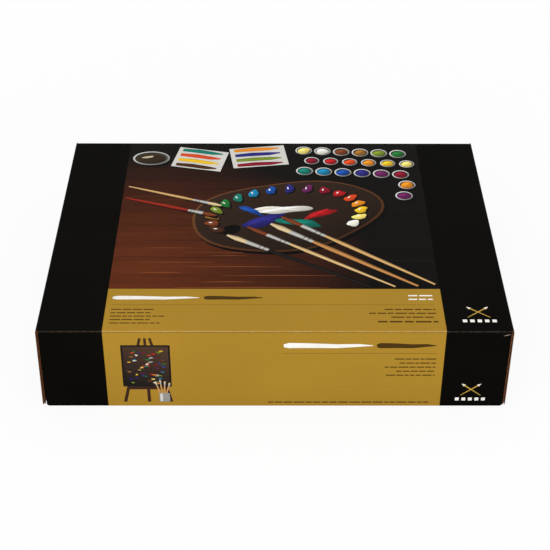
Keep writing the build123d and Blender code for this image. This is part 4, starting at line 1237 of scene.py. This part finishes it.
def slotted_head():
    """A low domed screw head, 3 mm wide, with a straight slot."""
    mesh = Mesh()
    profile = ((1.5, 0.0), (1.5, 0.12), (1.35, 0.3), (0.9, 0.44), (0.32, 0.5))
    sides = 20
    gap = 0.2
    for half in (1, -1):
        rings = []
        for radius, height in profile:
            reach = math.acos(min(1.0, gap / radius))
            ring = []
            for k in range(sides // 2 + 1):
                angle = math.pi / 2 - reach + 2 * reach * k / (sides // 2)
                ring.append(
                    Vector((radius * math.cos(angle), half * radius * math.sin(angle), height)) * MM
                )
            rings.append(ring)
        for a, b in zip(rings, rings[1:]):
            for k in range(len(a) - 1):
                mesh.face((a[k], a[k + 1], b[k + 1], b[k]), smooth=True)
        mesh.face(rings[0][::-1])
        mesh.face(rings[-1])
        mesh.face([ring[0] for ring in rings] + [ring[-1] for ring in rings[::-1]])
    floor = [
        Vector((1.4 * math.cos(math.pi * k / 12), 1.4 * math.sin(math.pi * k / 12), 0.15)) * MM
        for k in range(24)
    ]
    base = [Vector((p.x, p.y, 0)) for p in floor]
    mesh.face(floor)
    mesh.face(base[::-1])
    for k in range(24):
        j = (k + 1) % 24
        mesh.face((base[k], base[j], floor[j], floor[k]))
    return mesh.object("slotted_head", ("brass",), normals=True)


def solid_boxes(node):
    """The low and the high corner of each separate solid of a node, at rest."""
    edit = bmesh.new()
    edit.from_mesh(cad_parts[node].data)
    bmesh.ops.remove_doubles(edit, verts=edit.verts, dist=1e-6)
    seen, found = set(), []
    for start in edit.verts:
        if start in seen:
            continue
        stack, island = [start], []
        seen.add(start)
        while stack:
            vert = stack.pop()
            island.append(vert.co.copy())
            for edge in vert.link_edges:
                other = edge.other_vert(vert)
                if other not in seen:
                    seen.add(other)
                    stack.append(other)
        low = Vector(tuple(min(p[i] for p in island) for i in range(3)))
        high = Vector(tuple(max(p[i] for p in island) for i in range(3)))
        found.append((low, high))
    edit.free()
    return found


def build_hardware():
    """Brass on hinges, latches and turn buttons, with slotted screws."""
    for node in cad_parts:
        if node.startswith(("hinge_", "latch_", "turn_button", "button_posts")):
            dress(node, "steel" if node.endswith("pins") else "brass")
    head = slotted_head()
    for node, body, normal in (
        ("hinge_chest_screws", "tray", (0, 1, 0)),
        ("hinge_lid_screws", "chest_lid", (0, 1, 0)),
        ("latch_screws", "tray", (0, -1, 0)),
    ):
        spots = []
        for low, high in solid_boxes(node):
            middle = (low + high) / 2
            middle.y = low.y if normal[1] > 0 else high.y
            spots.append(middle)
        made = grown_on_points(node + "_slotted", spots, normal, head, "brass")
        keep(made, body, "brass", node)
    bpy.data.objects.remove(head)


# Tubes


def tube_mesh(mesh, spot, size, paint):
    """One paint tube: shoulder, printed skin, flattened end and folded crimp."""
    radius, length, crimp_wide, crimp_thick, crimp_long = size
    sides = 24
    tilt = math.radians(40)
    ct, st = math.cos(tilt), math.sin(tilt)
    stations = [
        (-3.0, 4.2, 4.2), (-2.6, radius * 0.62, radius * 0.62), (-0.4, radius * 0.97, radius * 0.97),
        (0.0, radius, radius),
    ]
    straight = 0.12 * length
    end = length - crimp_long
    marks = (0.06, 0.12, 0.16, 0.2, 0.26, 0.3, 0.44, 0.5, 0.56, 0.6, 0.7, 0.8, 0.9, 1.0)
    for m in marks:
        y = m * end
        ease = max(0.0, (y - straight) / (end - straight))
        stations.append(
            (y, radius + (crimp_wide - radius) * ease, radius + (crimp_thick / 2 - radius) * ease)
        )
    metal, label = 0, 1
    cream, gold = ink(226, 214, 184), ink(178, 140, 62)
    dark = ink(34, 30, 28)

    def band(y):
        m = y / end
        if m < 0.12 or m >= 0.7:
            return metal, (1, 1, 1, 1)
        if m < 0.2:
            return label, dark
        if m < 0.3:
            return label, ink(*paint)
        if m < 0.44:
            return label, cream
        if m < 0.5:
            return label, gold
        if m < 0.6:
            return label, cream
        return label, ink(*paint)

    rings = []
    for y, a, b in stations:
        ring = []
        for k in range(sides):
            angle = 2 * math.pi * k / sides
            x, z = a * math.cos(angle), b * math.sin(angle)
            ring.append(spot + Vector((x * ct + z * st, y, -x * st + z * ct)) * MM)
        rings.append((y, ring))
    for (ya, ra), (yb, rb) in zip(rings, rings[1:]):
        slot, colour = band((ya + yb) / 2)
        for k in range(sides):
            j = (k + 1) % sides
            mesh.face((ra[k], rb[k], rb[j], ra[j]), slot, inks=colour, smooth=True)
    mesh.face(rings[0][1], metal)
    # the folded end, with three pressed lines across it
    folds = (
        (0.0, 1.0), (0.3, 1.0), (0.34, 0.6), (0.4, 0.6), (0.44, 1.0), (0.7, 1.0), (0.74, 0.6), (0.8, 0.6),
        (0.84, 1.0), (1.0, 0.85),
    )
    sections = []
    for t, thick in folds:
        y = end + crimp_long * t
        a, b = crimp_wide, crimp_thick / 2 * thick
        sections.append(
            [
                spot + Vector((x * ct + z * st, y, -x * st + z * ct)) * MM
                for x, z in ((-a, -b), (a, -b), (a, b), (-a, b))
            ]
        )
    for a, b in zip(sections, sections[1:]):
        for k in range(4):
            j = (k + 1) % 4
            mesh.face((a[j], b[j], b[k], a[k]), metal)
    mesh.face(sections[0], metal)
    mesh.face(sections[-1][::-1], metal)


def cap_mesh(mesh, spot, radius, length, along=(0, -1, 0), taper=0.88, ribs=30):
    """A ribbed screw cap; spot is the centre of its open end."""
    along = Vector(along)
    side = Vector((1, 0, 0)) if abs(along.x) < 0.5 else Vector((0, 1, 0))
    up = along.cross(side).normalized()
    profile = (
        (0.0, 1.0, 0.2), (0.06, 1.0, 1.0), (0.86, taper + 0.02, 1.0), (0.92, taper - 0.02, 0.2),
        (1.0, taper - 0.14, 0.0),
    )
    rings = []
    for t, grow, rib in profile:
        ring = []
        for k in range(ribs * 2):
            cut = 1.0 - (0.045 * rib if k % 2 else 0.0)
            angle = math.pi * k / ribs
            reach = radius * grow * cut
            ring.append(
                spot + (
                    side * math.cos(angle) + up * math.sin(angle)
                ) * reach * MM + along * (length * t * MM)
            )
        rings.append(ring)
    for a, b in zip(rings, rings[1:]):
        for k in range(ribs * 2):
            j = (k + 1) % (ribs * 2)
            mesh.face((a[k], a[j], b[j], b[k]))
    mesh.face(rings[0][::-1])
    mesh.face(rings[-1])


TUBES = {
    "tubes_small": (9.0, 78.0, 6.0, 11.0),
    "tubes_medium": (12.4, 122.0, 10.5, 15.0),
    "tubes_large": (15.0, 130.0, 12.0, 15.0),
    "tube_giant": (19.5, 132.0, 15.0, 17.0),
}


def build_tubes():
    """Every paint tube and its ribbed cap, in four sizes."""
    pick = 0
    for name, (radius, length, cap_radius, cap_length) in TUBES.items():
        bodies, caps = Mesh(), Mesh()
        for low, high in sorted(solid_boxes(name + "_caps"), key=lambda b: (round(b[0].z, 4), b[0].x)):
            seat = Vector(((low.x + high.x) / 2, high.y, (low.z + high.z) / 2))
            tube_mesh(
                bodies, seat + Vector((0, 3.15, 0)) * MM, (radius, length, 1.445 * radius, 1.8, 7.0),
                PAINTS[pick % len(PAINTS)],
            )
            cap_mesh(caps, seat, cap_radius, cap_length)
            pick += 1 if name != "tubes_large" else 4
        keep(
            bodies.object(name + "_skins", ("tube_metal", "tube_label"), normals=True), "tray",
            "tube_metal", name + "_bodies",
        )
        keep(
            caps.object(name + "_ribbed_caps", ("cap_plastic",), normals=True), "tray", "cap_plastic",
            name + "_caps",
        )


# Bottles, brushes, knives and cups


def build_bottles():
    """Glass bottles of amber medium with ribbed caps and paper labels."""
    dress("bottles_glass", "glass")
    dress("bottles_medium", "medium")
    caps, labels = Mesh(), Mesh()
    cream, band, line = ink(234, 226, 204), ink(168, 128, 50), ink(60, 48, 34)
    for low, high in solid_boxes("bottles_caps"):
        seat = Vector((high.x, (low.y + high.y) / 2, (low.z + high.z) / 2))
        cap_mesh(caps, seat, 12.0, 13.0, (-1, 0, 0), 0.97, 40)
    for low, high in solid_boxes("bottles_glass"):
        radius = (high.z - low.z) / 2
        middle = Vector((0, (low.y + high.y) / 2, (low.z + high.z) / 2))
        cuts = (-45, -42, -36, -34, -30, -28.5, -26, -24.5, -22, -20.5, -14, -12, -9)
        inks = (band, cream, band, cream, line, cream, line, cream, line, cream, band, cream)
        right = high.x
        arc = 40
        for (x0, x1), colour in zip(zip(cuts, cuts[1:]), inks):
            for k in range(arc):
                a0, a1 = math.radians(-30 + 240 * k / arc), math.radians(-30 + 240 * (k + 1) / arc)
                inset = colour is line and not 9 < k < 31
                shade = cream if inset else colour
                quad = []
                for x, a in ((x0, a0), (x1, a0), (x1, a1), (x0, a1)):
                    quad.append(
                        middle + Vector(
                            (
                                right + x * MM, (radius + 0.08 * MM) * math.cos(a),
                                (radius + 0.08 * MM) * math.sin(a),
                            )
                        )
                    )
                labels.face(quad, inks=shade, smooth=True)
    keep(
        caps.object("bottle_ribbed_caps", ("cap_plastic",), normals=True), "tray", "cap_plastic",
        "bottles_caps",
    )
    keep(labels.object("bottle_labels", ("paper_label",)), "tray", "carton_board")


# A ferrule goes from round to flat, and bristles root in an ellipse; half widths in millimetres
FERRULE_ROUND, FERRULE_WIDE, FERRULE_DEEP = 3.1, 4.4, 2.2
ROOT_WIDE, ROOT_DEEP = 3.8, 1.6
BRISTLE_LENGTH, BRISTLE_RADIUS = 23.0 * MM, 0.14 * MM


def head_ring(low, high, along, wide, deep, sides):
    """Points round an ellipse across a brush, some millimetres along from the low end of its box."""
    middle = Vector((low.x, (low.y + high.y) / 2, (low.z + high.z) / 2))
    turns = [2 * math.pi * k / sides for k in range(sides)]
    return [middle + Vector((along, wide * math.cos(t), deep * math.sin(t))) * MM for t in turns]


def build_brushes():
    """Crimped ferrules and loose bristles in the place of the plain heads."""
    look = bpy.context.scene.paint_chest
    dress("brush_handles", "handle_wood")
    ferrules = Mesh()
    heads = sorted(solid_boxes("brush_ferrules"), key=lambda b: b[0].y)
    sides = 28
    for low, high in heads:
        length = (high.x - low.x) / MM
        rings = []
        for t, pinch in (
            (0, 0.94), (0.03, 1), (0.16, 1), (0.18, 0.93), (0.21, 0.93), (0.23, 1), (0.28, 1), (0.3, 0.93),
            (0.33, 0.93), (0.35, 1), (0.97, 1), (1, 0.97),
        ):
            wide = (FERRULE_ROUND + (FERRULE_WIDE - FERRULE_ROUND) * t) * pinch
            deep = (FERRULE_ROUND + (FERRULE_DEEP - FERRULE_ROUND) * t) * pinch
            rings.append(head_ring(low, high, t * length, wide, deep, sides))
        for a, b in zip(rings, rings[1:]):
            for k in range(sides):
                j = (k + 1) % sides
                ferrules.face((a[k], b[k], b[j], a[j]), smooth=True)
        ferrules.face(rings[0])
        ferrules.face(rings[-1][::-1])
    made = ferrules.object("crimped_ferrules", ("aluminium",), normals=True)
    keep(made, "tray", "aluminium", "brush_ferrules")

    tips = sorted(solid_boxes("brush_bristles"), key=lambda b: b[0].y)
    base = bpy.data.objects.new("bristle_roots", bpy.data.meshes.new("bristle_roots"))
    points, faces = [], []
    for low, high in tips:
        start = len(points)
        points += head_ring(low, high, 0, ROOT_WIDE, ROOT_DEEP, 24)
        faces.append(tuple(range(start, start + 24)))
    base.data.from_pydata(points, [], faces)
    bpy.context.scene.collection.objects.link(base)
    tree, numbers = number_tree("bristle_nodes", ("Density", "Bristle length", "Bristle radius"))
    nodes, links = tree.nodes, tree.links
    source = nodes.new("NodeGroupInput")
    spread = nodes.new("GeometryNodeDistributePointsOnFaces")
    spread.inputs["Seed"].default_value = 7
    links.new(source.outputs[0], spread.inputs["Mesh"])
    links.new(source.outputs[1], spread.inputs["Density"])
    strand = nodes.new("GeometryNodeMeshCone")
    strand.inputs["Vertices"].default_value = 4
    strand.inputs["Side Segments"].default_value = 2
    links.new(source.outputs[3], strand.inputs["Radius Bottom"])
    taper = nodes.new("ShaderNodeMath")
    taper.operation = "MULTIPLY"
    taper.inputs[1].default_value = 0.35
    links.new(source.outputs[3], taper.inputs[0])
    links.new(taper.outputs[0], strand.inputs["Radius Top"])
    links.new(source.outputs[2], strand.inputs["Depth"])
    stand = nodes.new("GeometryNodeInstanceOnPoints")
    stand.inputs["Rotation"].default_value = (0, math.pi / 2, 0)
    links.new(spread.outputs["Points"], stand.inputs["Points"])
    links.new(strand.outputs["Mesh"], stand.inputs["Instance"])
    size = nodes.new("FunctionNodeRandomValue")
    size.data_type = "FLOAT"
    size.inputs["Min"].default_value = 0.93
    size.inputs["Max"].default_value = 1.0
    size.inputs["Seed"].default_value = 3
    links.new(size.outputs[1], stand.inputs["Scale"])
    density = float(look.bristles) / (math.pi * ROOT_WIDE * ROOT_DEEP * MM * MM)
    values = (density, BRISTLE_LENGTH, BRISTLE_RADIUS)
    made = grown(base, "loose_bristles", tree, numbers, values, stand, "bristle")
    for vert in made.data.vertices:
        low, high = min(tips, key=lambda b: abs((b[0].y + b[1].y) / 2 - vert.co.y))
        t = (vert.co.x - low.x) / (high.x - low.x)
        middle_z, middle_y = (low.z + high.z) / 2, (low.y + high.y) / 2
        vert.co.z = middle_z + (vert.co.z - middle_z) * (1 - 0.5 * t)
        vert.co.y = middle_y + (vert.co.y - middle_y) * (1 - 0.12 * t * t)
    keep(made, "tray", "bristle", "brush_bristles")


def build_knives_and_cups():
    """Finishes of the palette knives and the double cup."""
    dress("knife_handles", "handle_wood")
    dress("knife_shanks", "steel")
    dress("knife_blades", "steel")
    dress("palette_cups", "tinplate")
    dress("palette_cup_clip", "tinplate")


# Stage


def seen_or_mirrored(nodes, links):
    """1 for rays from the camera, through glass or off a glossy face, and 0 for those that only light."""
    path = nodes.new("ShaderNodeLightPath")
    result = path.outputs["Is Camera Ray"]
    for kind in ("Is Transmission Ray", "Is Glossy Ray"):
        either = nodes.new("ShaderNodeMath")
        either.operation = "MAXIMUM"
        links.new(result, either.inputs[0])
        links.new(path.outputs[kind], either.inputs[1])
        result = either.outputs[0]
    return result


def build_stage():
    """White floor, soft lamps and the camera at the photograph's angle."""
    look = bpy.context.scene.paint_stage
    scene = bpy.context.scene
    scene.view_settings.view_transform = "Standard"

    world = bpy.data.worlds.new("white_room")
    world.use_nodes = True
    scene.world = world
    nodes, links = world.node_tree.nodes, world.node_tree.links
    background = nodes["Background"]
    level = nodes.new("ShaderNodeMapRange")
    level.inputs[3].default_value = look.room_light
    level.inputs[4].default_value = 1.0
    links.new(seen_or_mirrored(nodes, links), level.inputs[0])
    background.inputs["Color"].default_value = (1, 1, 1, 1)
    links.new(level.outputs[0], background.inputs["Strength"])

    floor_mesh = bpy.data.meshes.new("floor")
    reach, below = 6.0, -0.0002
    corners = [(x * reach, y * reach, below) for x, y in ((-1, -1), (1, -1), (1, 1), (-1, 1))]
    floor_mesh.from_pydata(corners, [], [(0, 1, 2, 3)])
    floor = bpy.data.objects.new("floor", floor_mesh)
    scene.collection.objects.link(floor)
    paint = bpy.data.materials.new("floor_white")
    paint.use_nodes = True
    nodes, links = paint.node_tree.nodes, paint.node_tree.links
    shader = nodes["Principled BSDF"]
    shader.inputs["Base Color"].default_value = (0.9, 0.9, 0.9, 1)
    shader.inputs["Roughness"].default_value = 0.9
    shader.inputs["Specular IOR Level"].default_value = 0.0
    glow = nodes.new("ShaderNodeEmission")
    glow.inputs["Color"].default_value = (1, 1, 1, 1)
    glow.inputs["Strength"].default_value = 1.0
    # away from the object the floor is plain white, so that no horizon shows
    where = nodes.new("ShaderNodeTexCoord")
    length = nodes.new("ShaderNodeVectorMath")
    length.operation = "LENGTH"
    links.new(where.outputs["Object"], length.inputs[0])
    spread = nodes.new("ShaderNodeMapRange")
    spread.inputs["From Min"].default_value = 0.45
    spread.inputs["From Max"].default_value = 1.1
    spread.inputs["To Min"].default_value = look.floor_glow
    spread.inputs["To Max"].default_value = 1.0
    links.new(length.outputs["Value"], spread.inputs["Value"])
    share = nodes.new("ShaderNodeMath")
    share.operation = "MULTIPLY"
    links.new(spread.outputs[0], share.inputs[1])
    links.new(seen_or_mirrored(nodes, links), share.inputs[0])
    mix = nodes.new("ShaderNodeMixShader")
    links.new(share.outputs[0], mix.inputs[0])
    links.new(shader.outputs[0], mix.inputs[1])
    links.new(glow.outputs[0], mix.inputs[2])
    links.new(mix.outputs[0], nodes["Material Output"].inputs["Surface"])
    floor_mesh.materials.append(paint)

    aim = Vector((0, 0, 0.05))
    for name, place, size, power in (
        ("key_lamp", (-1.0, -1.7, 1.5), 1.4, look.key_power),
        ("fill_lamp", (1.4, -1.5, 1.0), 1.4, look.fill_power),
        ("top_lamp", (0.2, 0.6, 2.2), 1.6, look.top_power),
    ):
        data = bpy.data.lights.new(name, "AREA")
        data.size = size
        data.energy = power
        lamp = bpy.data.objects.new(name, data)
        lamp.location = place
        lamp.rotation_mode = "QUATERNION"
        lamp.rotation_quaternion = (aim - Vector(place)).to_track_quat("-Z", "Y")
        scene.collection.objects.link(lamp)

    pitch, yaw, roll = math.radians(look.pitch), math.radians(look.yaw), math.radians(look.roll)
    turn_z = Matrix.Rotation(yaw, 3, "Z")
    turn_x = Matrix.Rotation(pitch, 3, "X")
    lean = Matrix(((math.cos(roll), 0, -math.sin(roll)), (0, 1, 0), (math.sin(roll), 0, math.cos(roll))))
    to_view = lean @ turn_x @ turn_z
    shift = lean @ Vector((look.aside, look.away, look.lower))
    right, ahead, up = to_view[0], to_view[1], to_view[2]
    spot = -(to_view.transposed() @ shift)
    data = bpy.data.cameras.new("camera")
    data.sensor_width = 36.0
    data.lens = look.focal_pixels / 550 * 36.0
    camera = bpy.data.objects.new("camera", data)
    camera.matrix_world = Matrix((
        (right.x, up.x, -ahead.x, spot.x),
        (right.y, up.y, -ahead.y, spot.y),
        (right.z, up.z, -ahead.z, spot.z),
        (0, 0, 0, 1),
    ))
    data.clip_start, data.clip_end = 0.05, 30
    scene.collection.objects.link(camera)
    scene.camera = camera


# Settings, operators and the panel


def colour_property(name, description, default):
    """One colour setting."""
    return FloatVectorProperty(
        name=name, description=description, subtype="COLOR", size=4, min=0, max=1, default=default,
    )


class PaintCartonSettings(bpy.types.PropertyGroup):
    black: colour_property("End black", "Ink of the two black ends", ink(9, 8, 6))
    gold: colour_property("Centre gold", "Ink of the gold centre", ink(165, 128, 45))
    kraft: colour_property("Kraft", "Bare paper of the board", ink(158, 112, 72))
    gloss: FloatProperty(
        name="Gloss", description="Specular level of the printed paper", default=0.008, min=0, max=1,
    )
    flute_pitch: FloatProperty(
        name="Flute pitch", description="Distance from flute to flute", default=6.4 * MM, unit="LENGTH",
    )


class PaintChestSettings(bpy.types.PropertyGroup):
    stain: colour_property("Wood stain", "Colour of the chest's wood", ink(88, 54, 34))
    screw_head: FloatProperty(
        name="Screw head", description="Width of a screw head", default=SCREW_HEAD, unit="LENGTH",
    )
    bristles: IntProperty(
        name="Bristles", description="Bristles in each brush", default=170, min=20, max=400,
    )


class PaintStageSettings(bpy.types.PropertyGroup):
    pitch: FloatProperty(
        name="Pitch", description="How far the camera looks down, in degrees", default=36.538,
    )
    yaw: FloatProperty(
        name="Yaw", description="Turn of the object to the camera, in degrees", default=0.368,
    )
    roll: FloatProperty(name="Roll", description="Lean of the camera, in degrees", default=-0.2625)
    aside: FloatProperty(
        name="Aside", description="Object's place beside the view's axis", default=-0.96883 * MM,
        unit="LENGTH",
    )
    away: FloatProperty(
        name="Away", description="Object's distance along the view's axis", default=1559.127 * MM,
        unit="LENGTH",
    )
    lower: FloatProperty(
        name="Lower", description="Object's place below the view's axis", default=-27.99993 * MM,
        unit="LENGTH",
    )
    focal_pixels: FloatProperty(
        name="Focal length", description="Focal length in pixels of a 550 pixel frame", default=1354.296,
    )
    room_light: FloatProperty(name="Room light", description="Light of the white room", default=0.6, min=0)
    floor_glow: FloatProperty(
        name="Floor glow", description="Share of the floor's own white", default=0.9, min=0, max=1,
    )
    key_power: FloatProperty(
        name="Key lamp", description="Power of the front left lamp", default=20.0, unit="POWER",
    )
    fill_power: FloatProperty(
        name="Fill lamp", description="Power of the front right lamp", default=12.0, unit="POWER",
    )
    top_power: FloatProperty(
        name="Top lamp", description="Power of the lamp above", default=8.0, unit="POWER",
    )


def finished(build):
    """Runs one builder; an error in it stops the script."""
    build()
    return {"FINISHED"}


class OilBoards(bpy.types.Operator):
    """Builds the carton's corrugated panels"""

    bl_idname = "paintset.boards"
    bl_label = "Carton boards"

    def execute(self, context):
        return finished(build_boards)


class OilFolds(bpy.types.Operator):
    """Builds the rounded folds round the carton's top"""

    bl_idname = "paintset.folds"
    bl_label = "Carton folds"

    def execute(self, context):
        return finished(build_folds)


class OilTopPrint(bpy.types.Operator):
    """Prints the picture and the gold band on the top"""

    bl_idname = "paintset.top_print"
    bl_label = "Top print"

    def execute(self, context):
        return finished(build_top_print)


class OilFrontPrint(bpy.types.Operator):
    """Prints the front flap"""

    bl_idname = "paintset.front_print"
    bl_label = "Front print"

    def execute(self, context):
        return finished(build_front_print)


class OilChest(bpy.types.Operator):
    """Finishes the wooden chest and the palette"""

    bl_idname = "paintset.chest"
    bl_label = "Chest"

    def execute(self, context):
        return finished(build_chest)


class OilHardware(bpy.types.Operator):
    """Finishes the brass hardware and sets its screws"""

    bl_idname = "paintset.hardware"
    bl_label = "Hardware"

    def execute(self, context):
        return finished(build_hardware)


class OilTubes(bpy.types.Operator):
    """Builds the paint tubes and their caps"""

    bl_idname = "paintset.tubes"
    bl_label = "Paint tubes"

    def execute(self, context):
        return finished(build_tubes)


class OilBottles(bpy.types.Operator):
    """Builds the bottles' caps and labels"""

    bl_idname = "paintset.bottles"
    bl_label = "Bottles"

    def execute(self, context):
        return finished(build_bottles)


class OilBrushes(bpy.types.Operator):
    """Builds the brushes' ferrules and bristles"""

    bl_idname = "paintset.brushes"
    bl_label = "Brushes"

    def execute(self, context):
        return finished(build_brushes)


class OilKnives(bpy.types.Operator):
    """Finishes the palette knives and cups"""

    bl_idname = "paintset.knives"
    bl_label = "Knives and cups"

    def execute(self, context):
        return finished(build_knives_and_cups)


class OilStage(bpy.types.Operator):
    """Sets the floor, the lamps and the camera"""

    bl_idname = "paintset.stage"
    bl_label = "Stage"

    def execute(self, context):
        return finished(build_stage)


OPERATORS = (
    OilBoards, OilFolds, OilTopPrint, OilFrontPrint, OilChest, OilHardware,
    OilTubes, OilBottles, OilBrushes, OilKnives, OilStage,
)


class OilPanel(bpy.types.Panel):
    """Lists the paint set's settings and pieces"""

    bl_idname = "VIEW3D_PT_paint_set"
    bl_label = "Paint Set"
    bl_space_type = "VIEW_3D"
    bl_region_type = "UI"
    bl_category = "Paint Set"

    def draw(self, context):
        for group in (context.scene.paint_carton, context.scene.paint_chest, context.scene.paint_stage):
            box = self.layout.box()
            for key in group.bl_rna.properties.keys():
                if key not in ("rna_type", "name"):
                    box.prop(group, key)
        for operator in OPERATORS:
            self.layout.operator(operator.bl_idname)


SETTINGS = {
    "paint_carton": PaintCartonSettings, "paint_chest": PaintChestSettings,
    "paint_stage": PaintStageSettings,
}


def register():
    for cls in (*SETTINGS.values(), *OPERATORS, OilPanel):
        bpy.utils.register_class(cls)
    for name, cls in SETTINGS.items():
        setattr(bpy.types.Scene, name, bpy.props.PointerProperty(type=cls))


def unregister():
    for name in SETTINGS:
        delattr(bpy.types.Scene, name)
    for cls in (OilPanel, *reversed(OPERATORS), *SETTINGS.values()):
        bpy.utils.unregister_class(cls)


def main():
    register()
    for operator in OPERATORS:
        group, action = operator.bl_idname.split(".")
        getattr(getattr(bpy.ops, group), action)()


if __name__ == "__main__":
    main()
